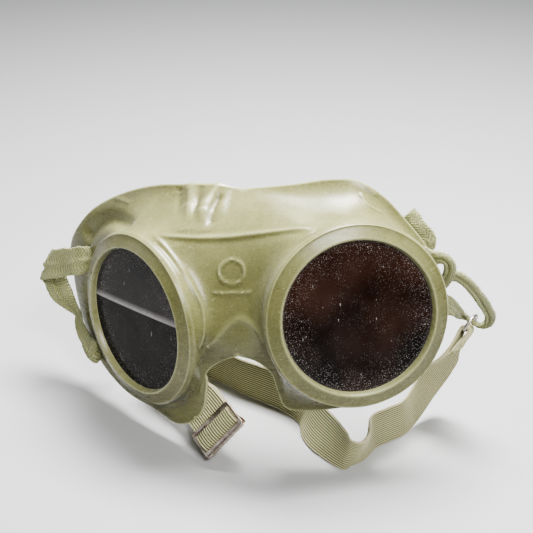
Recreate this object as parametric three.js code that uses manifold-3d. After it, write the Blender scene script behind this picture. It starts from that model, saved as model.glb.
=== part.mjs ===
// Rubber welding goggles with two round tinted glasses, cotton tape bridles at the temples
// and a ribbed elastic headband. Millimetres, +Z up, standing on the plane Z = 0.
import * as THREE from "three";
import { mergeVertices } from "three/addons/utils/BufferGeometryUtils.js";
import Module from "manifold-3d";

const wasm = await Module();
wasm.setup();

// ---- Driving dimensions ----
const PUPIL_HALF = 45.9; // half the distance between the two eyepiece centres
const WRAP_DEG = 30.5; // each eyepiece is turned outwards by this
const RIM_RADIUS = 35; // outer crest of the rubber rim
const GLASS_RADIUS = 31.2;
const GLASS_THICK = 2.6;
const GLASS_FRONT = -0.9; // along the eyepiece axis, from the crest plane, forward is positive
const GAP = 0.3;
const RUBBER_THICK = 2.2;
const STAND_LIFT = 57; // height of the eyepiece midpoint above the table
const LEAN_BACK_DEG = 12.23;
const RIGHT_SIDE_UP_DEG = 10.18; // the side that the headband holds up
const CENTRE_SHIFT = [4.76, -11.72, 0.33]; // stands the whole object centred on the origin

const TAPE_WIDTH = 11;
const TAPE_THICK = 1.4;
const SLOT_WIDTH = 3.8;
const SLOT_DEPTH = 8;
const ELASTIC_WIDTH = 17.5;
const ELASTIC_THICK = 1.1;
const GATHERED_WIDTH = 6.4; // the elastic is gathered to this where it goes round a wire
const WIRE_RADIUS = 0.7;

const THREAD_THICK = 0.5;
const STITCH_GAP = 0.45;
const RIM_SIDES = 48;

// ---- Materials ----
function finish(color, roughness, metalness = 0) {
  return new THREE.MeshStandardMaterial({ color, roughness, metalness });
}
const rubber = () => finish(0x7d7a52, 0.55);
const glass = () => finish(0x16100f, 0.08);
const tape = () => finish(0x9a9a74, 0.95);
const elastic = () => finish(0x9b9674, 0.9);
const thread = () => finish(0x8a8a66, 0.9);
const steel = () => finish(0x9a948c, 0.4, 0.9);

// ---- Solids ----
const vec = (x, y, z) => new THREE.Vector3(x, y, z);
const radians = THREE.MathUtils.degToRad;

function toSolid(geometry) {
  const bare = new THREE.BufferGeometry();
  bare.setAttribute("position", geometry.getAttribute("position").clone());
  if (geometry.index) bare.setIndex(geometry.index.clone());
  const merged = mergeVertices(bare, 1e-4);
  const mesh = new wasm.Mesh({
    numProp: 3,
    vertProperties: new Float32Array(merged.attributes.position.array),
    triVerts: new Uint32Array(merged.index.array),
  });
  return new wasm.Manifold(mesh);
}

function toGeometry(solid) {
  const mesh = solid.getMesh();
  const count = mesh.vertProperties.length / mesh.numProp;
  const position = new Float32Array(count * 3);
  for (let i = 0; i < count; i++) {
    position.set(mesh.vertProperties.subarray(i * mesh.numProp, i * mesh.numProp + 3), i * 3);
  }
  const geometry = new THREE.BufferGeometry();
  geometry.setAttribute("position", new THREE.BufferAttribute(position, 3));
  geometry.setIndex([...mesh.triVerts]);
  geometry.computeVertexNormals();
  return geometry;
}

// A closed surface from rings of points: each ring is a closed outline, the first and last are capped.
function skin(rings) {
  const size = rings[0].length;
  const points = rings.flat();
  const index = [];
  for (let r = 0; r + 1 < rings.length; r++) {
    for (let i = 0; i < size; i++) {
      const a = r * size + i;
      const b = r * size + ((i + 1) % size);
      index.push(a, b, b + size, a, b + size, a + size);
    }
  }
  const last = (rings.length - 1) * size;
  for (let i = 1; i + 1 < size; i++) {
    index.push(0, i + 1, i);
    index.push(last, last + i, last + i + 1);
  }
  const geometry = new THREE.BufferGeometry().setFromPoints(points);
  geometry.setIndex(index);
  return geometry;
}

// A band is a list of stations: middle point, direction across the band, width, thickness.
// A frame on the band is its point, direction of travel, direction across and facing direction.
function bandFrame(stations, t) {
  const middle = new THREE.CatmullRomCurve3(stations.map((s) => vec(...s.slice(0, 3))), false, "centripetal");
  const across = new THREE.CatmullRomCurve3(stations.map((s) => vec(...s.slice(3, 6)).normalize()));
  const u = t * (stations.length - 1);
  const k = Math.min(Math.floor(u), stations.length - 2);
  const size = [6, 7].map((c) => THREE.MathUtils.lerp(stations[k][c], stations[k + 1][c], u - k));
  const point = middle.getPoint(t);
  const along = middle.getTangent(t);
  const side = across.getPoint(t);
  side.addScaledVector(along, -side.dot(along)).normalize();
  const face = new THREE.Vector3().crossVectors(along, side);
  return { point, along, side, face, width: size[0], thickness: size[1] };
}

// A flat band through its stations, twisting smoothly from one to the next.
function band(stations, stepsEach) {
  const steps = (stations.length - 1) * stepsEach;
  const rings = [];
  for (let i = 0; i <= steps; i++) {
    const f = bandFrame(stations, i / steps);
    const corner = (a, b) =>
      f.point
        .clone()
        .addScaledVector(f.side, (a * f.width) / 2)
        .addScaledVector(f.face, (b * f.thickness) / 2);
    rings.push([corner(-1, -1), corner(1, -1), corner(1, 1), corner(-1, 1)]);
  }
  return skin(rings);
}

// A bar of stitching that lies just off one face of a band.
function barTack(stations, t, face, along, across) {
  const f = bandFrame(stations, t);
  const lift = f.thickness / 2 + STITCH_GAP + THREAD_THICK / 2;
  const bar = new THREE.BoxGeometry(along, across, THREAD_THICK);
  bar.applyMatrix4(new THREE.Matrix4().makeBasis(f.along, f.side, f.face));
  const at = f.point.clone().addScaledVector(f.face, face * lift);
  return bar.translate(at.x, at.y, at.z);
}

// A round wire along an open curve.
function wire(points, radius, steps) {
  const curve = new THREE.CatmullRomCurve3(points);
  const section = new THREE.Shape();
  section.absarc(0, 0, radius, 0, 2 * Math.PI);
  return new THREE.ExtrudeGeometry(section, { steps, curveSegments: 4, extrudePath: curve });
}

// A round wire bent into a closed, flat loop through the points, which turn about the normal.
function hoop(points, normal, radius, sides) {
  const count = points.length;
  const rings = points.map((p, i) => {
    const along = points[(i + 1) % count].clone().sub(points[(i + count - 1) % count]).normalize();
    const out = new THREE.Vector3().crossVectors(along, normal);
    return Array.from({ length: sides }, (_, k) => {
      const a = (2 * Math.PI * k) / sides;
      const q = p.clone().addScaledVector(out, radius * Math.cos(a));
      return q.addScaledVector(normal, -radius * Math.sin(a));
    });
  });
  const index = [];
  for (let r = 0; r < count; r++) {
    for (let i = 0; i < sides; i++) {
      const a = r * sides + i;
      const b = r * sides + ((i + 1) % sides);
      const c = ((r + 1) % count) * sides + i;
      const d = ((r + 1) % count) * sides + ((i + 1) % sides);
      index.push(a, b, d, a, d, c);
    }
  }
  const geometry = new THREE.BufferGeometry().setFromPoints(rings.flat());
  geometry.setIndex(index);
  return geometry;
}

// ---- Eyepieces ----
// The frame of one eyepiece: its centre, its axis towards the front, and two directions across it.
function eyeFrame(side) {
  const wrap = radians(WRAP_DEG);
  return {
    centre: vec(side * PUPIL_HALF, 0, 0),
    axis: vec(side * Math.sin(wrap), -Math.cos(wrap), 0),
    out: vec(side * Math.cos(wrap), Math.sin(wrap), 0),
    up: vec(0, 0, 1),
  };
}

// Turns a lathe solid, whose axis is Y, so that its axis is the eyepiece axis.
function alongEyeAxis(geometry, side) {
  const eye = eyeFrame(side);
  const turn = new THREE.Matrix4().makeBasis(
    new THREE.Vector3().crossVectors(eye.axis, eye.up),
    eye.axis,
    eye.up,
  );
  geometry.applyMatrix4(turn);
  geometry.translate(eye.centre.x, eye.centre.y, eye.centre.z);
  return geometry;
}

// The rubber rim in section: radius, and distance forward of the crest plane.
const RIM_BACK = -5.8;
const GROOVE_RADIUS = GLASS_RADIUS + GAP;
const RIM_PROFILE = [
  [29.3, RIM_BACK],
  [36, RIM_BACK],
  [36, -2.4],
  [35.7, -0.7],
  [RIM_RADIUS, 0],
  [30.3, 1.9],
  [29.8, 1.7],
  [29, 0],
  [29, GLASS_FRONT + GAP],
  [GROOVE_RADIUS, GLASS_FRONT + GAP],
  [GROOVE_RADIUS, GLASS_FRONT - GLASS_THICK - GAP],
  [29.3, GLASS_FRONT - GLASS_THICK - GAP],
  [29.3, RIM_BACK],
];

function rim(side) {
  const outline = RIM_PROFILE.map(([r, y]) => new THREE.Vector2(r, y));
  return alongEyeAxis(new THREE.LatheGeometry(outline, RIM_SIDES), side);
}

function lens(side) {
  const disc = new THREE.CylinderGeometry(GLASS_RADIUS, GLASS_RADIUS, GLASS_THICK, RIM_SIDES);
  disc.translate(0, GLASS_FRONT - GLASS_THICK / 2, 0);
  return alongEyeAxis(disc, side);
}

// ---- Rubber skirt ----
// Each row joins a point of the rim to a point of the skirt's edge: x (outwards), y, z of the edge
// point, the angle of the rim point about the eyepiece axis, how far the rubber runs straight back
// from the rim, and how far it runs along the edge's own direction.
const BROW_MIDDLE = [0, 17, 47.6, 112, 1, 7];
const NOSE_MIDDLE = [0, -10, -11.6, -178, 5, 7];
const CREST_MIDDLE = [0, -1.5, 32.5, 119, 0.5, 7];
const RIGHT_EDGE = [
  BROW_MIDDLE,
  [18.4, 18, 48, 104, 2, 7],
  [34, 20, 48.8, 96, 3, 8],
  [44.4, 22, 47.2, 85, 4, 8],
  [53, 25, 40.5, 66, 5, 8],
  [60, 28, 30.6, 48, 6, 7],
  [66.5, 30, 20, 30, 6, 6],
  [70.5, 31, 7.6, 10, 6, 5],
  [71.5, 30.5, -6.3, -10, 6, 5],
  [69, 28, -19.7, -32, 6, 5],
  [60.5, 22, -31, -56, 5, 5],
  [45.7, 14, -38, -86, 5, 5],
  [30.6, 9, -39.7, -112, 5, 5],
  [19.5, 5, -39.2, -134, 6, 5],
  [12.5, 3, -37.3, -148, 7, 5],
  [11, 0, -29.1, -157, 7, 5],
  [10.4, -3, -21.4, -165, 7, 6],
  [6.3, -7, -15, -172, 6, 6],
  NOSE_MIDDLE,
];
const LEFT_EDGE = [
  BROW_MIDDLE,
  [17.4, 18, 49.6, 106, 2, 7],
  [37, 20, 50.3, 96, 3, 8],
  [55, 24, 47.3, 78, 4, 9],
  [72, 28, 40.9, 58, 5, 9],
  [84, 32, 31.8, 40, 6, 9],
  [90.5, 35, 22.4, 26, 6, 8],
  [91.5, 36, 9.9, 10, 6, 8],
  [90, 34, -1, -4, 6, 8],
  [85.9, 30, -12.7, -20, 6, 7],
  [78, 24, -25.4, -42, 6, 6],
  [62.6, 14, -35.3, -68, 5, 5],
  [46, 6.5, -40.6, -94, 5, 5],
  [37, 2.5, -44.2, -114, 5, 5],
  [31.4, 1, -44.3, -126, 6, 5],
  [26.2, -1, -42, -137, 7, 5],
  [20.3, -3, -36, -148, 7, 5],
  [17, -4.3, -25.7, -158, 7, 6],
  [16, -5.2, -20, -164, 7, 6],
  [9.1, -7, -15.1, -171, 6, 6],
  NOSE_MIDDLE,
];
const BRIDGE_FACE = [
  [...NOSE_MIDDLE.slice(0, 3), 182, 5, 7],
  [0, -11, -4, 174, 6, 7],
  [0, -9.5, 6, 160, 7, 7],
  [0, -8, 14, 146, 7, 7],
  [0, -5, 24, 131, 4, 7],
  CREST_MIDDLE,
];
const BROW_SLOPE = [CREST_MIDDLE, [0, 5, 38.5, 116, 1, 7], BROW_MIDDLE];
const EDGE_STEPS = 36;
const FACE_STEPS = 8;
const SLOPE_STEPS = 3;
const DEPTH_STEPS = 7;
const SKIRT_ROOT = { radius: 35.9, forward: -3 };

// Samples a list of rows of numbers along a smooth curve through them.
function sampleRows(rows, steps) {
  const out = [];
  const width = rows[0].length;
  for (let i = 0; i <= steps; i++) {
    const u = (i / steps) * (rows.length - 1);
    const k = Math.min(Math.floor(u), rows.length - 2);
    const t = u - k;
    const pick = (j) => rows[Math.max(0, Math.min(rows.length - 1, j))];
    const row = [];
    for (let c = 0; c < width; c++) {
      const [p0, p1, p2, p3] = [pick(k - 1)[c], pick(k)[c], pick(k + 1)[c], pick(k + 2)[c]];
      const cubic = (3 * p1 - p0 - 3 * p2 + p3) * t * t * t;
      row.push(p1 + 0.5 * ((p2 - p0) * t + (2 * p0 - 5 * p1 + 4 * p2 - p3) * t * t + cubic));
    }
    out.push(row);
  }
  return out;
}

// The skirt's columns for one side, round the eyepiece once.
function skirtColumns(side) {
  const edge = sampleRows(side > 0 ? RIGHT_EDGE : LEFT_EDGE, EDGE_STEPS);
  const face = sampleRows(BRIDGE_FACE, FACE_STEPS);
  const slope = sampleRows(BROW_SLOPE, SLOPE_STEPS);
  const columns = edge.map((row) => ({ row, free: true }));
  face.slice(1).forEach((row) => columns.push({ row, free: false }));
  slope.slice(1, -1).forEach((row) => columns.push({ row, free: false }));
  columns[EDGE_STEPS].free = false; // its next column is on the middle line
  return columns;
}

// One column of the skirt as a cubic curve from the rim to the edge.
function skirtCurve(side, column) {
  const [x, y, z, angle, back, run] = column.row;
  const eye = eyeFrame(side);
  const spoke = eye.out.clone().multiplyScalar(Math.cos(radians(angle)));
  spoke.addScaledVector(eye.up, Math.sin(radians(angle)));
  const start = eye.centre.clone().addScaledVector(spoke, SKIRT_ROOT.radius);
  start.addScaledVector(eye.axis, SKIRT_ROOT.forward);
  const end = vec(side * x, y, z);
  const second = start.clone().addScaledVector(eye.axis, -back);
  const inwards = Math.exp(-((x / 9) ** 2));
  const flare = vec(spoke.x, spoke.y + 0.35, spoke.z).normalize().multiplyScalar(1 - inwards);
  flare.x -= side * inwards;
  const third = end.clone().addScaledVector(flare, -run);
  return new THREE.CubicBezierCurve3(start, second, third, end);
}

// The outward direction on the middle line, whose columns run from the nose up to the brow.
function middleNormal(grid, i) {
  const last = (column) => grid[column % grid.length][DEPTH_STEPS];
  const above = i === 0 ? last(0) : last(i + 1);
  const below = i === EDGE_STEPS ? last(i) : last(i + grid.length - 1);
  const up = above.clone().sub(below);
  return vec(0, -up.z, up.y).normalize();
}

// The skirt of both sides as one closed sheet of rubber: an outer and an inner surface, joined
// along the free edge and round each rim, and to each other along the middle line.
function skirt() {
  const index = [];
  const points = [];
  for (const side of [-1, 1]) {
    const columns = skirtColumns(side);
    const count = columns.length;
    const curves = columns.map((c) => skirtCurve(side, c));
    const grid = curves.map((c) => c.getPoints(DEPTH_STEPS));
    const normals = grid.map((line, i) =>
      line.map((p, j) => {
        if (j === DEPTH_STEPS && Math.abs(p.x) < 1e-6) return middleNormal(grid, i);
        const round = grid[(i + 1) % count][j].clone().sub(grid[(i + count - 1) % count][j]);
        const depth = line[Math.min(j + 1, DEPTH_STEPS)].clone().sub(line[Math.max(j - 1, 0)]);
        return new THREE.Vector3().crossVectors(round, depth).multiplyScalar(side).normalize();
      }),
    );
    const base = points.length;
    grid.forEach((line) => points.push(...line));
    const inner = points.length;
    grid.forEach((line, i) =>
      line.forEach((p, j) => points.push(p.clone().addScaledVector(normals[i][j], -RUBBER_THICK))),
    );
    const at = (i, j, layer) => layer + (i % count) * (DEPTH_STEPS + 1) + j;
    const quad = (a, b, c, d) => (side > 0 ? index.push(a, b, c, a, c, d) : index.push(a, c, b, a, d, c));
    for (let i = 0; i < count; i++) {
      for (let j = 0; j < DEPTH_STEPS; j++) {
        quad(at(i, j, base), at(i + 1, j, base), at(i + 1, j + 1, base), at(i, j + 1, base));
        quad(at(i, j, inner), at(i, j + 1, inner), at(i + 1, j + 1, inner), at(i + 1, j, inner));
      }
      quad(at(i, 0, base), at(i, 0, inner), at(i + 1, 0, inner), at(i + 1, 0, base));
      if (!columns[i].free) continue;
      const j = DEPTH_STEPS;
      quad(at(i, j, base), at(i + 1, j, base), at(i + 1, j, inner), at(i, j, inner));
    }
  }
  const geometry = new THREE.BufferGeometry().setFromPoints(points);
  geometry.setIndex(index);
  return geometry;
}

// Each temple slot: its centre, the outward direction through the rubber in degrees, how far its
// upper end leans back from that direction in degrees, its height.
const SLOTS = {
  rightUpper: { at: [65.4, 26.3, 15.5], facing: 0, lean: 26, height: 12.6 },
  rightLower: { at: [69.3, 27, -3.4], facing: 12, lean: 0, height: 12.6 },
  leftUpper: { at: [-75.9, 26.5, 19.3], facing: 238, lean: 0, height: 12.6 },
  leftLower: { at: [-75.8, 24.9, -18], facing: 250, lean: 0, height: 9.6 },
};

function slotCutter({ at, facing, lean, height }) {
  const box = new THREE.BoxGeometry(SLOT_DEPTH, SLOT_WIDTH, height);
  return toSolid(box.rotateY(-radians(lean)).rotateZ(radians(facing)).translate(...at));
}

function rubberMask() {
  const sheet = toSolid(skirt());
  const whole = sheet.add(toSolid(rim(1))).add(toSolid(rim(-1)));
  return toGeometry(Object.values(SLOTS).reduce((solid, s) => solid.subtract(slotCutter(s)), whole));
}

// ---- Tape bridles, in the frame of the eyepieces ----
const RIGHT_BRIDLE = [
  [58.4, 33.6, 30.2, 0.75, 0.45, 0.48, TAPE_WIDTH, TAPE_THICK],
  [61.9, 34.4, 24.4, 0.75, 0.45, 0.48, TAPE_WIDTH, TAPE_THICK],
  [64.2, 35.2, 19.8, 0.65, 0.4, 0.65, TAPE_WIDTH, TAPE_THICK],
  [62.4, 33.2, 16.2, 0.15, 0.2, 0.97, TAPE_WIDTH, TAPE_THICK],
  [60.6, 29, 14.2, -0.4, 0, 0.92, TAPE_WIDTH, TAPE_THICK],
  [62.3, 26.6, 14, -0.44, 0, 0.9, TAPE_WIDTH, TAPE_THICK],
  [...SLOTS.rightUpper.at, -0.44, 0, 0.9, TAPE_WIDTH, TAPE_THICK],
  [68.6, 26.2, 17, -0.4, 0, 0.92, TAPE_WIDTH, TAPE_THICK],
  [73.2, 25.9, 16.6, -0.1, 0, 1, TAPE_WIDTH, TAPE_THICK],
  [77.6, 26.6, 12.8, 0.4, 0.1, 0.9, 8.4, 1.8],
  [80.4, 29.2, 6.8, 0.72, 0.2, 0.66, 4.6, 2.6],
  [84.2, 33.2, -0.3, 0.75, 0.15, 0.65, 3.4, 3],
  [87.7, 36.6, -6, 0.9, -0.1, 0.4, 3.4, 3],
  [88.8, 40, -12, 0.98, 0.1, -0.1, 3.3, 2.8],
  [87, 42, -15.8, 0.7, 0.5, -0.5, 3.1, 2.4],
  [83.6, 42.9, -16.9, 0.3, 0.9, -0.4, 3, 2.2],
  [80.8, 43.6, -15.3, 0.13, 0.97, -0.23, 3, 2.2],
  [78.3, 43.9, -13.6, -0.2, 0.9, -0.35, 3, 2.2],
  [76.9, 40.6, -11.8, -0.7, 0.3, -0.6, 3.2, 2.3],
  [77, 34, -8.6, -0.5, -0.2, -0.84, 4, 2.4],
  [75.2, 29.4, -5, -0.1, -0.2, -0.97, 7, 1.8],
  [72.6, 27.7, -3.8, 0, 0, -1, 9.5, TAPE_THICK],
  [...SLOTS.rightLower.at, 0, 0, -1, TAPE_WIDTH, TAPE_THICK],
  [66.3, 26.4, -3.3, 0, 0, -1, TAPE_WIDTH, TAPE_THICK],
  [63, 25.7, -3.2, 0, 0, -1, TAPE_WIDTH, TAPE_THICK],
];
const LEFT_BRIDLE = [
  [-72.1, 32, 19, 0, 0, 1, TAPE_WIDTH, TAPE_THICK],
  [-73.9, 29.4, 19.1, 0, 0, 1, TAPE_WIDTH, TAPE_THICK],
  [...SLOTS.leftUpper.at, 0, 0, 1, TAPE_WIDTH, TAPE_THICK],
  [-78.4, 23.3, 19.6, 0.1, 0, 1, TAPE_WIDTH, TAPE_THICK],
  [-82.3, 22.4, 20, 0.2, 0, 0.97, TAPE_WIDTH, TAPE_THICK],
  [-86, 23.6, 20.5, 0.27, 0, 0.96, TAPE_WIDTH, TAPE_THICK],
  [-91, 25, 21, 0.1, 0, 1, 10, TAPE_THICK],
  [-95.4, 26.4, 19.4, -0.45, 0.1, 0.88, 7.5, 1.8],
  [-99.3, 28, 14.7, -0.8, 0.1, 0.55, 5.2, 2.2],
  [-100.4, 28.8, 10, -1, 0.1, 0, 4.6, 2.4],
  [-97.6, 29.2, 4.6, -0.86, 0, -0.5, 4.4, 2.4],
  [-92.4, 28.6, -0.9, -0.65, 0, -0.75, 4.4, 2.4],
  [-88.3, 27.6, -7.6, -0.87, 0.1, -0.45, 5, 2.2],
  [-85.4, 25.6, -13.6, -0.8, 0.1, -0.6, 6.6, 1.8],
  [-82.2, 22.2, -17.6, -0.4, -0.1, -0.9, 8, TAPE_THICK],
  [-78.6, 20.9, -18.3, 0, 0, -1, 8, TAPE_THICK],
  [...SLOTS.leftLower.at, 0, 0, -1, 8, TAPE_THICK],
  [-74.6, 28.3, -17.9, 0, 0, -1, 8, TAPE_THICK],
  [-73.4, 31.4, -17.8, 0, 0, -1, 8, TAPE_THICK],
];

// ---- Wire fittings and the elastic's ends, in the frame of the table ----
// Each end of the elastic turns round the straight bar of a wire fitting. The frame of a fitting
// is the middle of its bar, the direction back along the elastic, the bar's direction, the normal.
function fitting(bar, towards, across) {
  const side = vec(...across).normalize();
  const back = vec(...towards);
  back.addScaledVector(side, -back.dot(side)).normalize();
  return { bar: vec(...bar), back, side, normal: new THREE.Vector3().crossVectors(side, back) };
}
const RING_END = fitting([82, 38.2, 43.9], [-0.35, -0.05, -0.93], [-0.2, -0.9, 0.4]);
const HOOK_END = fitting([-32.4, 16.8, 11.3], [0.62, -0.78, 0], [0, 0, 1]);

function onFitting({ bar, back, side, normal }, along, across, off) {
  const p = bar.clone().addScaledVector(back, along);
  return p.addScaledVector(side, across).addScaledVector(normal, off);
}

// The turn of the elastic round a bar, from the tail on the normal's side to the other side.
const TURN_RADIUS = 1.7;
const TAIL_LENGTH = 9;
const SEAM_OFFSET = 0.95;
const TURN_ANGLES = [90, 135, 180, 225, 270];
const TAIL_WIDTH = 9.4;
const THROAT_WIDTH = 7.4;
const THROAT_EXTRA = 0.2;
function endTurn(end) {
  const { x, y, z } = end.side;
  const row = (along, off, width) => [...onFitting(end, along, 0, off), x, y, z, width, ELASTIC_THICK];
  const turn = TURN_ANGLES.map(radians).map((a) =>
    row(TURN_RADIUS * Math.cos(a), TURN_RADIUS * Math.sin(a), GATHERED_WIDTH),
  );
  const halfWay = TAIL_LENGTH / 2;
  return [
    row(TAIL_LENGTH, SEAM_OFFSET, TAIL_WIDTH),
    row(halfWay, SEAM_OFFSET + THROAT_EXTRA, THROAT_WIDTH),
    ...turn,
    row(halfWay, -SEAM_OFFSET - THROAT_EXTRA, THROAT_WIDTH),
    row(TAIL_LENGTH, -SEAM_OFFSET, TAIL_WIDTH),
  ];
}

// The ring is round but for its straight bar.
const RING_RADIUS = 4.6;
const BAR_OFFSET = 2.3;
const RING_POINTS = 26;
function ringWire() {
  const half = Math.acos(BAR_OFFSET / RING_RADIUS);
  const points = [];
  for (let i = 0; i <= RING_POINTS; i++) {
    const a = half + (i / RING_POINTS) * (2 * Math.PI - 2 * half);
    const along = RING_RADIUS * Math.cos(a) - BAR_OFFSET;
    points.push(onFitting(RING_END, along, RING_RADIUS * Math.sin(a), 0));
  }
  return hoop(points, RING_END.normal.clone().negate(), WIRE_RADIUS, 10);
}

const HOOK_PATH = [
  [0, -4.2, 0],
  [0, -1.5, 0],
  [0, 1.5, 0],
  [0, 4.2, 0],
  [-1.6, 5, 0],
  [-4, 3, 0],
  [-6.5, 0.8, 0],
  [-9, 0.4, 0.3],
  [-10.6, 0.4, 1.9],
  [-10, 0.4, 4],
  [-7.6, 0.4, 4.6],
];
const HOOK_STEPS = 44;

// ---- Slider ----
// Its frame: centre of the plate's back face, long direction, direction along the elastic, normal.
const SLIDER_AT = vec(-6.94, -12.12, 11.3);
const SLIDER_LONG = vec(0.5978, 0.4189, 0.6834);
const SLIDER_ALONG = vec(-0.7408, 0.6146, 0.2713);
const SLIDER_NORMAL = new THREE.Vector3().crossVectors(SLIDER_LONG, SLIDER_ALONG);
const SLIDER_SIZE = { long: 20.6, wide: 13.2, thick: 1.3, corner: 1.4 };
const WINDOW = { long: 18.3, wide: 8.4, off: 0.3, corner: 0.8 };
const SLIDER_BAR = { radius: 0.5, along: -3.4, below: 2.3 };
const LUG = { thick: 1, wide: 2.8, deep: 3.3, hole: 0.8 };
const LAYER_GAP = 0.4;
// Rows where the two layers lie flat and parallel, by distance from the slider's middle.
const STRAIGHT_ROWS = [11, 6, 1];

function onSlider(long, along, off) {
  const p = SLIDER_AT.clone().addScaledVector(SLIDER_LONG, long);
  return p.addScaledVector(SLIDER_ALONG, along).addScaledVector(SLIDER_NORMAL, off);
}

function inSliderFrame(geometry) {
  const turn = new THREE.Matrix4().makeBasis(SLIDER_LONG, SLIDER_ALONG, SLIDER_NORMAL);
  return geometry.applyMatrix4(turn.setPosition(SLIDER_AT));
}

function roundedOutline(outline, long, wide, off, r) {
  const [x, y] = [long / 2, wide / 2];
  outline.moveTo(-x + r, off - y);
  outline.lineTo(x - r, off - y);
  outline.quadraticCurveTo(x, off - y, x, off - y + r);
  outline.lineTo(x, off + y - r);
  outline.quadraticCurveTo(x, off + y, x - r, off + y);
  outline.lineTo(-x + r, off + y);
  outline.quadraticCurveTo(-x, off + y, -x, off + y - r);
  outline.lineTo(-x, off - y + r);
  outline.quadraticCurveTo(-x, off - y, -x + r, off - y);
  return outline;
}

function sliderFrame() {
  const { long, wide, thick, corner } = SLIDER_SIZE;
  const outline = roundedOutline(new THREE.Shape(), long, wide, 0, corner);
  outline.holes.push(roundedOutline(new THREE.Path(), WINDOW.long, WINDOW.wide, WINDOW.off, WINDOW.corner));
  const plate = new THREE.ExtrudeGeometry(outline, { depth: thick, bevelEnabled: false, curveSegments: 4 });
  let solid = toSolid(plate);
  for (const end of [-1, 1]) {
    const lug = new THREE.BoxGeometry(LUG.thick, LUG.wide, LUG.deep + thick / 2);
    lug.translate((end * (long - LUG.thick)) / 2, SLIDER_BAR.along, (thick / 2 - LUG.deep) / 2);
    solid = solid.add(toSolid(lug));
  }
  const hole = new THREE.CylinderGeometry(LUG.hole, LUG.hole, long + 2, 16).rotateZ(Math.PI / 2);
  hole.translate(0, SLIDER_BAR.along, -SLIDER_BAR.below);
  return inSliderFrame(toGeometry(solid.subtract(toSolid(hole))));
}

function sliderBar() {
  const { radius, along, below } = SLIDER_BAR;
  const bar = new THREE.CylinderGeometry(radius, radius, SLIDER_SIZE.long, 16).rotateZ(Math.PI / 2);
  return inSliderFrame(bar.translate(0, along, -below));
}

// ---- Elastic headband, in the frame of the table ----
const HEADBAND_DROP = [
  [74.9, 37, 29.8, -0.32, -0.75, 0.58, 15, ELASTIC_THICK],
  [72, 38, 23.4, -0.38, -0.6, 0.72, ELASTIC_WIDTH, ELASTIC_THICK],
  [68.3, 35.9, 16.1, -0.3, -0.4, 0.87, ELASTIC_WIDTH, ELASTIC_THICK],
  [64.3, 27.9, 9.9, -0.2, -0.25, 0.95, ELASTIC_WIDTH, ELASTIC_THICK],
];
// Where the elastic stands on its lower edge: x, y, and the direction across it.
const HEADBAND_STANDING = [
  [61.3, 20.4, -0.12, -0.15, 0.98],
  [56.8, 14.4, -0.08, -0.1, 0.99],
  [51.8, 7.5, -0.09, -0.1, 0.99],
  [50.2, -3.2, 0.19, -0.26, 0.95],
  [47.9, -7.7, 0.28, -0.29, 0.91],
  [45.3, -8.5, 0.29, -0.2, 0.93],
  [41.7, -6.2, 0.25, 0, 0.97],
  [35.4, -0.5, 0.33, 0.2, 0.92],
  [30, 4.6, 0.3, 0.38, 0.87],
  [25.4, 10.1, 0.2, 0.42, 0.88],
  [20, 18, 0.05, 0.25, 0.96],
  [11, 23.5, 0, 0.12, 0.99],
  [-0.7, 27.5, 0, 0.05, 1],
  [-11.8, 31, 0, 0, 1],
  [-22, 36, 0, 0, 1],
  [-33, 39, 0, 0, 1],
  [-44, 36.5, 0, 0, 1],
  [-50, 27, 0, 0, 1],
];
const HEADBAND_RISE = [
  [-46, 16.5, 10, 0.1, 0, 0.99, ELASTIC_WIDTH, ELASTIC_THICK],
  [-36, 9.5, 12.2, 0.28, 0.14, 0.95, ELASTIC_WIDTH, ELASTIC_THICK],
  [-26, 4, 14, 0.45, 0.28, 0.84, ELASTIC_WIDTH, ELASTIC_THICK],
  [-20, 0.2, 14, 0.55, 0.36, 0.75, ELASTIC_WIDTH, ELASTIC_THICK],
];
const HEADBAND_RETURN = [
  [-18.2, 2.2, 12, 0.52, 0.36, 0.77, ELASTIC_WIDTH, ELASTIC_THICK],
  [-22.8, 7.2, 11.8, 0.3, 0.2, 0.93, 15, ELASTIC_THICK],
];

function standing([x, y, ...across]) {
  const upright = across[2] / Math.hypot(...across);
  const lean = Math.sqrt(1 - upright * upright);
  const height = (ELASTIC_WIDTH * upright + ELASTIC_THICK * lean) / 2;
  return [x, y, height, ...across, ELASTIC_WIDTH, ELASTIC_THICK];
}

// The elastic's two layers under the slider and its turn round the slider's bar.
function sliderTurn() {
  const { along, below } = SLIDER_BAR;
  const upper = -LAYER_GAP - ELASTIC_THICK / 2;
  const radius = upper + below;
  const row = (v, off) => [...onSlider(0, v, off), ...SLIDER_LONG, ELASTIC_WIDTH, ELASTIC_THICK];
  const turn = TURN_ANGLES.map(radians).map((a) =>
    row(along + radius * Math.cos(a), radius * Math.sin(a) - below),
  );
  return [
    ...STRAIGHT_ROWS.map((v) => row(v, upper)),
    ...turn,
    ...[...STRAIGHT_ROWS].reverse().map((v) => row(v, upper - 2 * radius)),
  ];
}
const HEADBAND = [
  ...endTurn(RING_END),
  ...HEADBAND_DROP,
  ...HEADBAND_STANDING.map(standing),
  ...HEADBAND_RISE,
  ...sliderTurn(),
  ...HEADBAND_RETURN,
  ...endTurn(HOOK_END).reverse(),
];
const BAND_STEPS_EACH = 3;

// ---- Assembly ----
function part(name, geometry, material) {
  const mesh = new THREE.Mesh(geometry, material);
  mesh.name = name;
  return mesh;
}

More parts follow.
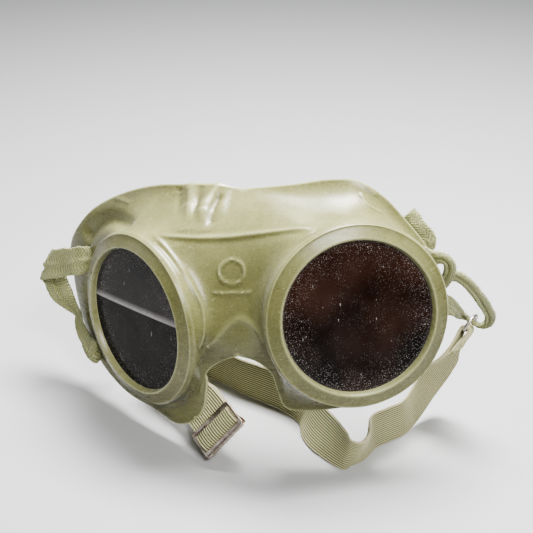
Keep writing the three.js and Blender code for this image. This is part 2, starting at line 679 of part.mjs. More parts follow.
// Bars of stitching: the band, how far along it, which face, length along the band and across it.
const BRIDLE_TACKS = {
  right_tab_stitching: [RIGHT_BRIDLE, 0.03, -1, 1.4, 8],
  right_lower_stitching: [RIGHT_BRIDLE, 0.98, 1, 1.4, 8],
  left_upper_stitching: [LEFT_BRIDLE, 0.25, 1, 1.4, 8],
  left_lower_stitching: [LEFT_BRIDLE, 0.76, 1, 1.2, 5],
};
const HEADBAND_TACKS = {
  ring_end_stitching: [HEADBAND, 0.012, 1, 1.6, 6],
  hook_end_stitching: [HEADBAND, 0.99, -1, 1.6, 6],
};

const goggles = new THREE.Group();
goggles.rotation.set(-radians(LEAN_BACK_DEG), -radians(RIGHT_SIDE_UP_DEG), 0, "YXZ");
goggles.position.set(0, 0, STAND_LIFT);
goggles.add(part("rubber_mask", rubberMask(), rubber()));
goggles.add(part("right_lens", lens(1), glass()));
goggles.add(part("left_lens", lens(-1), glass()));
goggles.add(part("right_bridle_tape", band(RIGHT_BRIDLE, BAND_STEPS_EACH), tape()));
goggles.add(part("left_bridle_tape", band(LEFT_BRIDLE, BAND_STEPS_EACH), tape()));
for (const [name, tack] of Object.entries(BRIDLE_TACKS)) {
  goggles.add(part(name, barTack(...tack), thread()));
}

const object = new THREE.Group();
object.position.set(...CENTRE_SHIFT);
object.add(goggles);
const hookPoints = HOOK_PATH.map((p) => onFitting(HOOK_END, ...p));
object.add(part("elastic_headband", band(HEADBAND, BAND_STEPS_EACH), elastic()));
for (const [name, tack] of Object.entries(HEADBAND_TACKS)) {
  object.add(part(name, barTack(...tack), thread()));
}
object.add(part("slider_frame", sliderFrame(), steel()));
object.add(part("slider_bar", sliderBar(), steel()));
object.add(part("wire_ring", ringWire(), steel()));
object.add(part("wire_hook", wire(hookPoints, WIRE_RADIUS, HOOK_STEPS), steel()));

export default object;
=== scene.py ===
"""Looks of the welding goggles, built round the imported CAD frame. Lengths are millimetres until
they are handed to a mesh, which is in metres."""

import math

import bmesh
import bpy
import numpy as np
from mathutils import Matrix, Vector


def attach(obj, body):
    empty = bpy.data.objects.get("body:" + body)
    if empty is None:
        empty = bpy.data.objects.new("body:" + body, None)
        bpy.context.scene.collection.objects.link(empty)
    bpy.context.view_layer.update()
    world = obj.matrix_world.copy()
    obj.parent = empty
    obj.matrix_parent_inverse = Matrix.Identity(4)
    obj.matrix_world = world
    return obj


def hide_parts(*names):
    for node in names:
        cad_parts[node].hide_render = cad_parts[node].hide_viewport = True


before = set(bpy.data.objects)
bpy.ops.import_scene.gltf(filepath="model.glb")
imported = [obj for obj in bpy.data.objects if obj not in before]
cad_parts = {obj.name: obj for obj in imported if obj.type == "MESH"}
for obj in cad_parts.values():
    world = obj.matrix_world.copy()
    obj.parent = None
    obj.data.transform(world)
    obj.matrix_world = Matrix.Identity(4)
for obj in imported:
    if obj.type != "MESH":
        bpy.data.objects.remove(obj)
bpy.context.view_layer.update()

MM = 0.001
SEED = 7

# ---- Dimensions shared with the CAD ----
PUPIL_HALF = 45.9
WRAP = math.radians(30.5)
STAND_LIFT = 57
LEAN_BACK = math.radians(12.23)
RIGHT_SIDE_UP = math.radians(10.18)
CENTRE_SHIFT = np.array([4.76, -11.72, 0.33])
GLASS_RADIUS = 31.2
GLASS_THICK = 2.6
GLASS_FRONT = -0.9
TAPE_WIDTH = 11
TAPE_THICK = 1.4
ELASTIC_WIDTH = 17.5
ELASTIC_THICK = 1.1
GATHERED_WIDTH = 6.4
RIBS = 17
WIRE_RADIUS = 0.7


# ---- Points and curves ----
def unit(v):
    return v / np.linalg.norm(v, axis=-1, keepdims=True)


def smooth(low, high, x):
    t = np.clip((np.asarray(x, float) - low) / (high - low), 0, 1)
    return t * t * (3 - 2 * t)


def turn_x(a):
    return np.array([[1, 0, 0], [0, math.cos(a), -math.sin(a)], [0, math.sin(a), math.cos(a)]])


def turn_y(a):
    return np.array([[math.cos(a), 0, math.sin(a)], [0, 1, 0], [-math.sin(a), 0, math.cos(a)]])


def turn_z(a):
    return np.array([[math.cos(a), -math.sin(a), 0], [math.sin(a), math.cos(a), 0], [0, 0, 1]])


GOGGLES_TURN = turn_y(-RIGHT_SIDE_UP) @ turn_x(-LEAN_BACK)


def from_goggles(points):
    """Points in the frame of the eyepieces, put in the row frame."""
    return np.asarray(points) @ GOGGLES_TURN.T + CENTRE_SHIFT + [0, 0, STAND_LIFT]


def from_table(points):
    return np.asarray(points) + CENTRE_SHIFT


def catmull(points, u):
    """Point and tangent of the smooth curve through the points, at u counted in points."""
    points = np.asarray(points, float)
    ends = 2 * points[0] - points[1], 2 * points[-1] - points[-2]
    p = np.vstack([ends[:1], points, ends[1:]])
    k = np.minimum(u.astype(int), len(points) - 2)
    t = (u - k)[:, None]
    p0, p1, p2, p3 = (p[k + n] for n in range(4))
    d0, d1, d2 = (
        np.sqrt(np.linalg.norm(b - a, axis=1, keepdims=True))
        for a, b in ((p0, p1), (p1, p2), (p2, p3))
    )
    d1 = np.where(d1 < 1e-4, 1, d1)
    d0 = np.where(d0 < 1e-4, d1, d0)
    d2 = np.where(d2 < 1e-4, d1, d2)
    m1 = ((p1 - p0) / d0 - (p2 - p0) / (d0 + d1) + (p2 - p1) / d1) * d1
    m2 = ((p2 - p1) / d1 - (p3 - p1) / (d1 + d2) + (p3 - p2) / d2) * d1
    c2 = 3 * (p2 - p1) - 2 * m1 - m2
    c3 = 2 * (p1 - p2) + m1 + m2
    return p1 + m1 * t + c2 * t**2 + c3 * t**3, m1 + 2 * c2 * t + 3 * c3 * t**2


def spaced(points, step):
    """Values of u that sample the curve through the points about every step."""
    u = np.linspace(0, len(points) - 1, 40 * len(points))
    p, _ = catmull(points, u)
    length = np.concatenate([[0], np.cumsum(np.linalg.norm(np.diff(p, axis=0), axis=1))])
    count = max(3, int(length[-1] / step) + 1)
    return np.interp(np.linspace(0, length[-1], count), length, u)


def through(points, step):
    return catmull(points, spaced(points, step))[0]


def table(text):
    """Rows of numbers, with a semicolon between rows."""
    return [[float(number) for number in row.split()] for row in text.split(";")]


def stations(width, thick, rows):
    """A band's rows: middle point, direction across, width, thickness. A row may leave out the last
    one or two, which are then the band's own."""
    return [[*row, *(width, thick)[len(row) - 6 :]] for row in rows]


# ---- Meshes ----
def linked(name, data):
    made = bpy.data.objects.new(name, data)
    bpy.context.scene.collection.objects.link(made)
    return made


def build(name, points, faces, body, material, replaces=(), uv=None, sharp=38):
    """Makes one piece. Points are in the row frame in millimetres, uv is one pair per point."""
    mesh = bpy.data.meshes.new(name)
    mesh.from_pydata((np.asarray(points) * MM).tolist(), [], [list(map(int, f)) for f in faces])
    if uv is not None:
        layer = mesh.uv_layers.new(name="UVMap")
        loops = np.zeros(len(mesh.loops), np.int32)
        mesh.loops.foreach_get("vertex_index", loops)
        layer.data.foreach_set("uv", np.asarray(uv, np.float32)[loops].ravel())
    piece = linked(name, mesh)
    soften(piece, sharp)
    mesh.materials.append(material)
    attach(piece, body)
    if replaces:
        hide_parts(*replaces)
    return piece


def soften(piece, sharp):
    """Smooth shading, but for edges that bend by more than sharp degrees."""
    form = bmesh.new()
    form.from_mesh(piece.data)
    bmesh.ops.remove_doubles(form, verts=form.verts, dist=1e-7)
    bmesh.ops.recalc_face_normals(form, faces=form.faces)
    for face in form.faces:
        face.smooth = True
    for edge in form.edges:
        edge.smooth = len(edge.link_faces) == 2 and edge.calc_face_angle(0) < math.radians(sharp)
    form.to_mesh(piece.data)
    form.free()


def grid_faces(rows, columns, close_rows=False, close_columns=True, first=0):
    """Quads of a grid of points stored row by row."""
    r = np.arange(rows if close_rows else rows - 1)
    c = np.arange(columns if close_columns else columns - 1)
    r, c = (x.ravel() for x in np.meshgrid(r, c, indexing="ij"))
    r2, c2 = (r + 1) % rows, (c + 1) % columns
    quads = [r * columns + c, r * columns + c2, r2 * columns + c2, r2 * columns + c]
    return (np.stack(quads, 1) + first).tolist()


def joined(parts):
    """Several (points, faces) as one."""
    points, faces, first = [], [], 0
    for p, f in parts:
        points.append(np.asarray(p))
        faces += [[i + first for i in face] for face in f]
        first += len(p)
    return np.vstack(points), faces


# A tube's rounded end: how far it reaches past the path, and its size, as shares of the radius.
TIP_REACH = 0.7
TIP_SIZE = 0.45


def tube(path, radius, sides=10, closed=False):
    """A round wire or thread along a path, with rounded ends."""
    path = np.asarray(path, float)
    if not closed:
        tip, tail = (unit(a - b) * radius * TIP_REACH for a, b in (path[:2], path[:-3:-1]))
        path = np.vstack([path[0] + tip, path, path[-1] + tail])
    around = np.roll(path, -1, 0) - np.roll(path, 1, 0)
    if not closed:
        around[0], around[-1] = path[1] - path[0], path[-1] - path[-2]
    along = unit(around)
    across = np.zeros_like(path)
    guess = np.eye(3)[np.argmin(np.abs(along[0]))]
    for i, direction in enumerate(along):
        guess = unit(guess - direction * (guess @ direction))
        across[i] = guess
    up = np.cross(along, across)
    angle = np.linspace(0, 2 * np.pi, sides, endpoint=False)
    size = np.full(len(path), radius, float)
    if not closed:
        size[[0, -1]] = radius * TIP_SIZE
    cos, sin = (turn(angle)[None, :, None] for turn in (np.cos, np.sin))
    ring = cos * across[:, None] + sin * up[:, None]
    points = path[:, None] + ring * size[:, None, None]
    faces = grid_faces(len(path), sides, close_rows=closed)
    if not closed:
        faces += [list(range(sides)), [(len(path) - 1) * sides + i for i in range(sides)]]
    return points.reshape(-1, 3), faces


def rounded(half_x, half_y, corner, per_corner):
    """A rectangle with round corners, as one loop of points."""
    loop = []
    for sx, sy, start in ((1, 1, 0), (-1, 1, 90), (-1, -1, 180), (1, -1, 270)):
        for a in np.radians(np.linspace(start, start + 90, per_corner)):
            x = sx * (half_x - corner) + corner * math.cos(a)
            loop.append((x, sy * (half_y - corner) + corner * math.sin(a)))
    return loop


# ---- Materials ----
def srgb(*colour):
    """A display colour, 0 to 255, as the linear colour that a shader takes."""
    linear = (c / 255 / 12.92 if c <= 10 else ((c / 255 + 0.055) / 1.055) ** 2.4 for c in colour)
    return (*linear, 1)


class Finish:
    """A procedural material under construction. Its base colour is laid on in layers."""

    def __init__(self, name, **values):
        self.material = bpy.data.materials.new(name)
        self.material.use_nodes = True
        self.tree = self.material.node_tree
        self.shader = self.tree.nodes["Principled BSDF"]
        self.base = None
        for key, value in values.items():
            self.shader.inputs[key.replace("_", " ")].default_value = value

    def node(self, kind, *, out=0, set=None, **inputs):
        """A node's output. An input is given by its name, or as i0, i1 by its number."""
        made = self.tree.nodes.new("ShaderNode" + kind)
        for key, value in (set or {}).items():
            setattr(made, key, value)
        for key, value in inputs.items():
            socket = made.inputs[int(key[1:]) if key[0] == "i" and key[1:].isdigit() else key]
            if isinstance(value, bpy.types.NodeSocket):
                self.tree.links.new(value, socket)
            else:
                socket.default_value = value
        return made.outputs[out]

    def math(self, operation, a, b=0.0, c=0.0):
        return self.node("Math", set={"operation": operation}, i0=a, i1=b, i2=c)

    def times(self, a, b):
        return self.math("MULTIPLY", a, b)

    def axis(self, vector, index):
        return self.node("SeparateXYZ", out=index, Vector=vector)

    def flat(self):
        """The mesh's own map."""
        return self.node("UVMap", set={"uv_map": "UVMap"})

    def pointiness(self):
        """Above a half on edges that stand out, below it in hollows."""
        return self.node("NewGeometry", out=7)

    def upward(self, low, high):
        """0 to 1 as the surface turns to face up: used for dust with painted top light, and, ramped the
        other way, for painted shade underneath.
        """
        return self.ramp(self.axis(self.node("NewGeometry", out=1), 2), low, high)

    def noise(self, scale, detail=3, roughness=0.5, stretch=None):
        """Noise fixed to the object, so it keeps its place from every side."""
        vector = self.node("TexCoord", out=3)
        if stretch:
            vector = self.node("Mapping", Vector=vector, Scale=stretch)
        return self.node("TexNoise", Vector=vector, Scale=scale, Detail=detail, Roughness=roughness)

    def ramp(self, value, low, high, to_low=0.0, to_high=1.0):
        ends = {"From Min": low, "From Max": high, "To Min": to_low, "To Max": to_high}
        return self.node("MapRange", Value=value, **ends)

    def clouds(self, noise, low, high):
        """Soft patches of a noise, given as its scale, detail and roughness."""
        return self.ramp(self.noise(*noise), low, high)

    def mix(self, factor, a, b):
        return self.node("Mix", out=2, set={"data_type": "RGBA"}, i0=factor, i6=a, i7=b)

    def start(self, mask, low, high):
        self.base = self.mix(mask, srgb(*low), srgb(*high))

    def layer(self, mask, colour, share=None):
        """Lays a colour on, where the mask is 1, or that share of it."""
        if share is not None:
            mask = self.times(mask, share)
        self.base = self.mix(mask, self.base, srgb(*colour))

    def bump(self, height, distance, strength=1.0, **under):
        return self.node("Bump", Height=height, Distance=distance, Strength=strength, **under)

    def surface(self, **sockets):
        for key, value in {"Base_Color": self.base, **sockets}.items():
            self.tree.links.new(value, self.shader.inputs[key.replace("_", " ")])
        return self.material


def rubber_finish():
    """Dusty olive rubber: dust and painted light on top, painted shade underneath and in its hollows,
    pale wear and painted highlight on its edges.
    """
    f = Finish("olive_rubber", IOR=1.5, Sheen_Weight=0.1, Sheen_Roughness=0.5)
    f.start(f.clouds((28, 4, 0.6), 0.35, 0.65), (89, 88, 50), (106, 105, 61))
    f.layer(f.clouds((95, 5, 0.65), 0.42, 0.7), (130, 129, 80), 0.35)
    # Lighter on faces turned up: dust, and painted light from above.
    dust = f.ramp(f.noise(60, 6, 0.7), 0.3, 0.75, 0.25, 0.6)
    f.layer(f.times(f.upward(0.15, 1.0), dust), (174, 173, 124))
    # Painted shade on faces turned down.
    f.layer(f.upward(0.05, -0.9), (46, 45, 25))
    grain = f.noise(1150, 5, 0.75)
    f.layer(f.ramp(grain, 0.52, 0.72, 0.0, 0.3), (184, 183, 136))
    f.layer(f.ramp(grain, 0.46, 0.28, 0.0, 0.35), (66, 64, 34))
    f.layer(f.clouds((1500, 2, 0.5), 0.69, 0.76), (220, 214, 182), 0.6)
    curve = f.pointiness()
    # Pale on edges that stand out: wear, and painted highlight.
    f.layer(f.ramp(curve, 0.505, 0.55, 0.0, 0.55), (202, 202, 154))
    # Painted shade in the hollows.
    f.layer(f.ramp(curve, 0.495, 0.44, 0.0, 0.6), (56, 52, 28))
    smear = f.noise(120, 4, 0.6, stretch=(1, 1, 3))
    rough = f.ramp(smear, 0.3, 0.7, 0.22, 0.36)
    fine = f.bump(f.noise(1500, 5, 0.7), 0.00008, 0.5)
    wave = f.bump(f.noise(140, 3, 0.5), 0.0002, 0.35, Normal=fine)
    return f.surface(Roughness=rough, Normal=wave)


def glass_finish(name, level, tints, streak=None):
    """Dark welding glass: a dusty border, specks, and a wiped streak where there is one. The map
    is -1 to 1 across the glass."""
    f = Finish(name, IOR=1.4, Specular_IOR_Level=level)
    flat = f.flat()
    centre = f.node("VectorMath", out=1, set={"operation": "LENGTH"}, i0=flat)
    f.start(f.clouds((30, 2, 0.5), 0.35, 0.7), *tints)
    edge = f.ramp(centre, 0.89, 0.985)
    edge = f.times(f.times(edge, edge), f.clouds((2600, 4, 0.8), 0.4, 0.58))
    many = f.ramp(f.noise(170, 3, 0.6), 0.4, 0.75, 0.02, 0.45)
    many = f.math("ADD", many, f.ramp(centre, 0.6, 0.95, 0.0, 0.9))
    grains = f.times(f.clouds((2700, 2, 0.6), 0.6, 0.7), many)
    fibres = f.ramp(f.noise(900, 2, 0.4, stretch=(1, 1, 0.25)), 0.73, 0.78, 0, 0.5)
    dust = f.math("MAXIMUM", f.times(edge, 0.85), f.math("MAXIMUM", grains, fibres))
    film = f.ramp(f.noise(60, 4, 0.6), 0.35, 0.8, 0.0, 0.03)
    if streak:
        x, y = f.axis(flat, 0), f.axis(flat, 1)
        across = f.math("ADD", f.math("MULTIPLY_ADD", x, streak["slope"], y), streak["offset"])
        bend = f.math("MULTIPLY_ADD", f.times(x, x), -streak["bend"], across)
        line = f.times(f.ramp(bend, 0.1, 0.0), f.ramp(bend, -0.018, 0.0))
        line = f.math("POWER", line, 1.6)
        above = f.ramp(bend, -0.004, 0.012, 0, 0.06)
        grit = f.ramp(f.noise(1500, 4, 0.8), 0.35, 0.65, 0.45, 1.0)
        film = f.math("ADD", film, f.math("MULTIPLY_ADD", f.times(line, grit), 1.3, above))
    dust = f.math("MINIMUM", f.math("ADD", dust, film), 0.9)
    f.layer(dust, (182, 178, 176))
    return f.surface(Roughness=f.ramp(dust, 0.0, 0.5, 0.07, 0.7))


def cotton_finish():
    """Herringbone cotton tape. The map is in millimetres across and along the tape."""
    f = Finish("cotton_tape", Roughness=0.95, Sheen_Weight=0.35, Sheen_Roughness=0.6)
    flat = f.flat()
    x, y = f.axis(flat, 0), f.axis(flat, 1)
    zigzag = f.times(f.math("PINGPONG", x, 1.9), 0.8)
    ribs = f.math("SINE", f.times(f.math("ADD", y, zigzag), 5.2))
    yarns = f.math("SINE", f.times(x, 13.0))
    weave = f.math("ADD", f.times(ribs, 0.6), f.times(yarns, 0.3))
    height = f.math("ADD", f.times(weave, 0.5), f.times(f.noise(1900, 4, 0.7), 1.1))
    f.start(f.ramp(height, 0.0, 1.05), (78, 81, 40), (194, 196, 130))
    f.layer(f.clouds((150, 4, 0.6), 0.35, 0.7), (214, 214, 156), 0.3)
    return f.surface(Normal=f.bump(height, 0.0005))


def elastic_finish():
    """Ribbed elastic: pale covering threads over the ribs, darker rubber in the grooves. The map
    is 0 to 1 across the band."""
    f = Finish("elastic_webbing", Roughness=0.9, Sheen_Weight=0.25)
    x = f.axis(f.flat(), 0)
    rib = f.math("ABSOLUTE", f.math("SINE", f.times(x, RIBS * math.pi)))
    fuzz = f.noise(2400, 4, 0.75)
    f.start(f.ramp(rib, 0.4, 1.0), (48, 45, 24), (216, 213, 166))
    f.layer(f.clouds((75, 4, 0.6), 0.35, 0.7), (182, 179, 130), 0.3)
    edge = f.ramp(f.math("ABSOLUTE", f.math("SUBTRACT", x, 0.5)), 0.465, 0.49)
    f.layer(edge, (232, 222, 182), 0.6)
    f.base = f.mix(f.ramp(fuzz, 0.25, 0.7, 0.7, 1.0), srgb(84, 78, 52), f.base)
    return f.surface(Normal=f.bump(fuzz, 0.0001, 0.6))


def thread_finish():
    f = Finish("sewing_thread", Roughness=0.85, Sheen_Weight=0.3)
    fibre = f.noise(2600, 3, 0.6)
    f.start(f.ramp(fibre, 0.35, 0.65), (130, 128, 90), (210, 206, 160))
    return f.surface(Normal=f.bump(fibre, 0.0001, 0.6))


def plate_finish():
    """Worn plating: grey film, bright rubbed places and copper showing at the edges."""
    f = Finish("worn_plate", Metallic=1.0)
    f.start(f.clouds((260, 5, 0.7), 0.35, 0.65), (128, 122, 116), (222, 217, 208))
    scratch = f.ramp(f.noise(800, 5, 0.8, stretch=(1, 3, 0.4)), 0.55, 0.68)
    f.layer(scratch, (226, 222, 216), 0.6)
    f.layer(f.ramp(f.pointiness(), 0.52, 0.6), (204, 148, 116), 0.75)
    rough = f.ramp(f.noise(500, 5, 0.7), 0.3, 0.7, 0.22, 0.5)
    return f.surface(Roughness=rough, Normal=f.bump(f.noise(1300, 4, 0.7), 0.0001, 0.6))


def wire_finish():
    """Dull plated wire with a little rust."""
    f = Finish("plated_wire", Metallic=1.0)
    f.start(f.clouds((700, 4, 0.7), 0.35, 0.65), (146, 140, 130), (206, 202, 194))
    f.layer(f.clouds((420, 4, 0.7), 0.6, 0.72), (120, 88, 62), 0.6)
    return f.surface(Roughness=f.ramp(f.noise(900, 4, 0.7), 0.3, 0.7, 0.22, 0.5))


RUBBER = rubber_finish()
RIGHT_GLASS = glass_finish("dark_glass_right", 0.3, ((18, 14, 12), (58, 33, 21)))
STREAK = {"slope": 0.12, "offset": -0.11, "bend": 0.01}
LEFT_GLASS = glass_finish("dark_glass_left", 0.08, ((15, 14, 13), (38, 34, 30)), STREAK)
COTTON = cotton_finish()
ELASTIC = elastic_finish()
THREAD = thread_finish()
PLATE = plate_finish()
WIRE = wire_finish()


# ---- Rubber mask, in the frame of the eyepieces ----
BROW_MIDDLE = [0, 17, 47.6, 112, 1, 7]
NOSE_MIDDLE = [0, -10, -11.6, -178, 5, 7]
CREST_MIDDLE = [0, -1.5, 32.5, 119, 0.5, 7]
RIGHT_EDGE = [
    BROW_MIDDLE,
    *table("""
        18.4 18 48 104 2 7; 34 20 48.8 96 3 8; 44.4 22 47.2 85 4 8; 53 25 40.5 66 5 8;
        60 28 30.6 48 6 7; 66.5 30 20 30 6 6; 70.5 31 7.6 10 6 5; 71.5 30.5 -6.3 -10 6 5;
        69 28 -19.7 -32 6 5; 60.5 22 -31 -56 5 5; 45.7 14 -38 -86 5 5; 30.6 9 -39.7 -112 5 5;
        19.5 5 -39.2 -134 6 5; 12.5 3 -37.3 -148 7 5; 11 0 -29.1 -157 7 5; 10.4 -3 -21.4 -165 7 6;
        6.3 -7 -15 -172 6 6
    """),
    NOSE_MIDDLE,
]
LEFT_EDGE = [
    BROW_MIDDLE,
    *table("""
        17.4 18 49.6 106 2 7; 37 20 50.3 96 3 8; 55 24 47.3 78 4 9; 72 28 40.9 58 5 9;
        84 32 31.8 40 6 9; 90.5 35 22.4 26 6 8; 91.5 36 9.9 10 6 8; 90 34 -1 -4 6 8;
        85.9 30 -12.7 -20 6 7; 78 24 -25.4 -42 6 6; 62.6 14 -35.3 -68 5 5; 46 6.5 -40.6 -94 5 5;
        37 2.5 -44.2 -114 5 5; 31.4 1 -44.3 -126 6 5; 26.2 -1 -42 -137 7 5; 20.3 -3 -36 -148 7 5;
        17 -4.3 -25.7 -158 7 6; 16 -5.2 -20 -164 7 6; 9.1 -7 -15.1 -171 6 6
    """),
    NOSE_MIDDLE,
]
BRIDGE_FACE = [
    *table("""
        0 -10 -11.6 182 5 7; 0 -11 -4 174 6 7; 0 -9.5 6 160 7 7; 0 -8 14 146 7 7; 0 -5 24 131 4 7
    """),
    CREST_MIDDLE,
]
BROW_SLOPE = [CREST_MIDDLE, [0, 5, 38.5, 116, 1, 7], BROW_MIDDLE]
EDGE_STEPS = 270
FACE_STEPS = 60
SLOPE_STEPS = 30
DEPTH_STEPS = 50
INNER_STRIDE = 3
EDGE_THICK = 1.3
RUBBER_THICK = 2.2
THICKENS_OVER = 9
MIDDLE_REACH = 9
FLARE_BACK = 0.35
# Where the skirt is evened out, as ramps in columns: from the middle of the brow along the edge and
# the other way down past the crest, and both ways from the nose.
EVEN_ROUNDS = 220
EVEN_BROW = (29, 10)
EVEN_CREST = (46, 38)
EVEN_NOSE = ((62, 40), (40, 22))
LIFT_ROUNDS = 14
LIFT_FULL = 0.12
OFF_SURFACE = 0.85
SEAT_RADIUS = 36.4
SEAT_BACK = 6
LIP_ACROSS = 0.375
LIP_OUT = 0.66
# The rim in section, from the seat behind the glass round to the skirt: radius, forward.
RIM_PROFILE = table("""
    29.3 -5.8; 29.3 -3.9; 29.4 -3.8; 31.5 -3.8; 31.5 -0.6; 29.1 -0.6; 29 -0.5; 29 -0.1; 29.1 0.3;
    29.7 1.6; 29.85 1.8; 30.1 1.92; 30.4 1.86; 31 1.58; 32.5 0.86; 34.2 0.16; 34.75 0.02;
    34.95 0.02; 35.12 -0.08; 35.25 -0.3; 35.5 -0.85; 35.75 -1.4; 35.9 -2; 35.9 -2.6
""")
SKIRT_ROOT = (35.9, -3)
# Lines moulded in the rubber: height, half width, which ends fade, points.
RIDGES = [
    # Crest
    (0.95, 1.25, "both", """
        -32 -1 35; -26.8 -2.3 34.1; -17 -2.3 33.2; -5 -1.4 32.8; 6 -1 33.3; 19.1 -1.4 34.2;
        33.7 -1.2 34.8"""),
    # Arch over the nose
    (0.55, 1.5, "both", """
        -13.3 -9.8 -9.9; -8 -11.3 -5; -3.6 -10.7 -0.7; 2.6 -10.1 2.8; 7.7 -11 0.8; 11.3 -12.8 -3.5;
        11 -9.4 -9.6"""),
    # Left edge of the brow fold
    (-0.6, 0.55, "end", """
        -27.6 18.2 48.9; -26.9 15.3 45.2; -26.1 11.3 41.9; -25.4 5.6 38.7"""),
    # Left rib of the fold
    (1.1, 2.2, "end", """
        -22.6 17.7 48.6; -21.8 14.5 44.7; -20.4 8 40.8; -19 1.6 36.4"""),
    # Foot of the left rib, wider
    (0.5, 4.6, "both", """
        -21.6 13 44; -20.6 8 40.8; -20 2.6 37.2; -19.6 -1.2 34.6"""),
    # Valley of the fold
    (-0.8, 1.3, "end", """
        -17.8 17.4 48.5; -17.7 13 44.2; -17.4 8 41; -16.4 2 37"""),
    # Middle rib of the fold
    (1.5, 2.3, "end", """
        -10.6 17 48.4; -12.4 13.6 45.2; -13.8 10 42.4; -14.2 5.6 39.4; -13.6 1.4 36.2"""),
    # Hollow beside the middle rib
    (-0.7, 1.5, "both", """
        -8.6 15 46.4; -10 11 43.4; -10.6 6 40; -9.6 2 36.8"""),
    # Foot of the middle rib, wider
    (0.4, 4.4, "both", """
        -13.6 9 41.6; -13.8 5.6 39.4; -13.2 1.4 36.2; -12.6 -1.2 34.4"""),
    # Right rib of the fold
    (0.5, 1.8, "end", """
        -6.8 17.2 48.4; -7.2 13 44.9; -7 8.2 41.4; -5 3.4 37.4"""),
    # Hollow above the left eyepiece
    (-2.0, 3.6, "both", """
        -79.4 28.1 27.2; -73.5 25.5 32; -66.9 23 35.7; -60.6 20.2 37.4; -53.6 15 36.9;
        -45.6 7.4 36.7"""),
    # Crease of the left flange
    (0.35, 0.6, "both", """
        -61.2 25.4 45.4; -56.1 23 44.6; -50.9 20.2 43.6"""),
    # Moulding line at the right
    (0.4, 0.6, "both", """
        45.1 20.4 43.6; 48.4 18.6 39; 53.5 20.9 34.4"""),
    # Second line at the right
    (0.3, 0.6, "both", """
        45.7 22.4 46.4; 51.1 23.6 41.1"""),
    # Foot of the left eyepiece
    (0.5, 0.9, "both", """
        -34.5 -0.1 35.3; -23.9 -7.1 28.7; -15.6 -10.6 17.7; -11.4 -11.7 7.1; -12.3 -13.3 -4.3;
        -15.5 -15.3 -11.6"""),
    # Foot of the right eyepiece
    (0.45, 0.9, "both", """
        33.7 -0.9 35; 28.7 -6.7 31; 22.5 -12.4 24; 18.7 -15.3 17; 14.6 -15.9 7.7"""),
    # Lower left flap
    (0.4, 0.8, "both", """
        -42.6 -3.3 -31.8; -36.5 1.3 -36.7; -27.4 -3.2 -32.6; -18.6 -10.7 -21.4"""),
    # Plain oval mould mark
    (0.45, 0.55, "none", """
        5.2 -6.65 20.3; 4.5 -5.87 22.45; 2.6 -5.13 24.02; 0 -4.75 24.6; -2.6 -5.13 24.02;
        -4.5 -5.87 22.45; -5.2 -6.65 20.3; -4.5 -7.16 18.15; -2.6 -7.36 16.58; -0 -7.4 16;
        2.6 -7.36 16.58; 4.5 -7.16 18.15; 5.2 -6.65 20.3"""),
    # Plain bar under the oval
    (0.4, 0.5, "both", """
        -9 -9.9 13.4; -4.5 -8.6 12.8; 0 -8.2 12.6; 4.5 -8.6 12.8; 9 -9.9 13.4"""),
]
# Broad swellings: height, radius, centre.
SWELLINGS = [
    (1.4, 6.0, (-16.5, 16, 47)),
    (0.9, 5.5, (-15, 9, 42)),
    (-0.4, 8.0, (2, -8, 13)),
]


def sample_rows(rows, steps):
    rows = np.array(rows, float)
    u = np.linspace(0, len(rows) - 1, steps + 1)
    k = np.minimum(u.astype(int), len(rows) - 2)
    t = (u - k)[:, None]
    p0, p1, p2, p3 = (rows[np.clip(k + n, 0, len(rows) - 1)] for n in (-1, 0, 1, 2))
    cubic = (3 * p1 - p0 - 3 * p2 + p3) * t**3
    return p1 + 0.5 * ((p2 - p0) * t + (2 * p0 - 5 * p1 + 4 * p2 - p3) * t**2 + cubic)


def eye_frame(side):
    """Centre of an eyepiece, its axis towards the front, and the direction out to the temple."""
    centre = np.array([side * PUPIL_HALF, 0, 0])
    axis = np.array([side * math.sin(WRAP), -math.cos(WRAP), 0])
    out = np.array([side * math.cos(WRAP), math.sin(WRAP), 0])
    return centre, axis, out


def skirt_side(side):
    """Outer surface of one side of the mask: columns round the eyepiece, points from rim to edge."""
    edge = sample_rows(RIGHT_EDGE if side > 0 else LEFT_EDGE, EDGE_STEPS)
    face = sample_rows(BRIDGE_FACE, FACE_STEPS)
    slope = sample_rows(BROW_SLOPE, SLOPE_STEPS)
    rows = np.vstack([edge, face[1:], slope[1:-1]])
    x, y, z, angle, back, run = rows.T
    centre, axis, out = eye_frame(side)
    turn = np.radians(angle)[:, None]
    spoke = out * np.cos(turn) + np.array([0, 0, 1]) * np.sin(turn)
    start = centre + spoke * SKIRT_ROOT[0] + axis * SKIRT_ROOT[1]
    end = np.stack([side * x, y, z], 1)
    second = start - axis * back[:, None]
    inwards = np.exp(-((x / MIDDLE_REACH) ** 2))[:, None]
    flare = unit(spoke + [0, FLARE_BACK, 0]) * (1 - inwards) - np.array([side, 0, 0]) * inwards
    third = end - flare * run[:, None]
    t = np.linspace(0, 1, DEPTH_STEPS + 1)[None, :, None]
    skirt = (
        start[:, None] * (1 - t) ** 3
        + 3 * second[:, None] * t * (1 - t) ** 2
        + 3 * third[:, None] * t**2 * (1 - t)
        + end[:, None] * t**3
    )
    return spoke, skirt


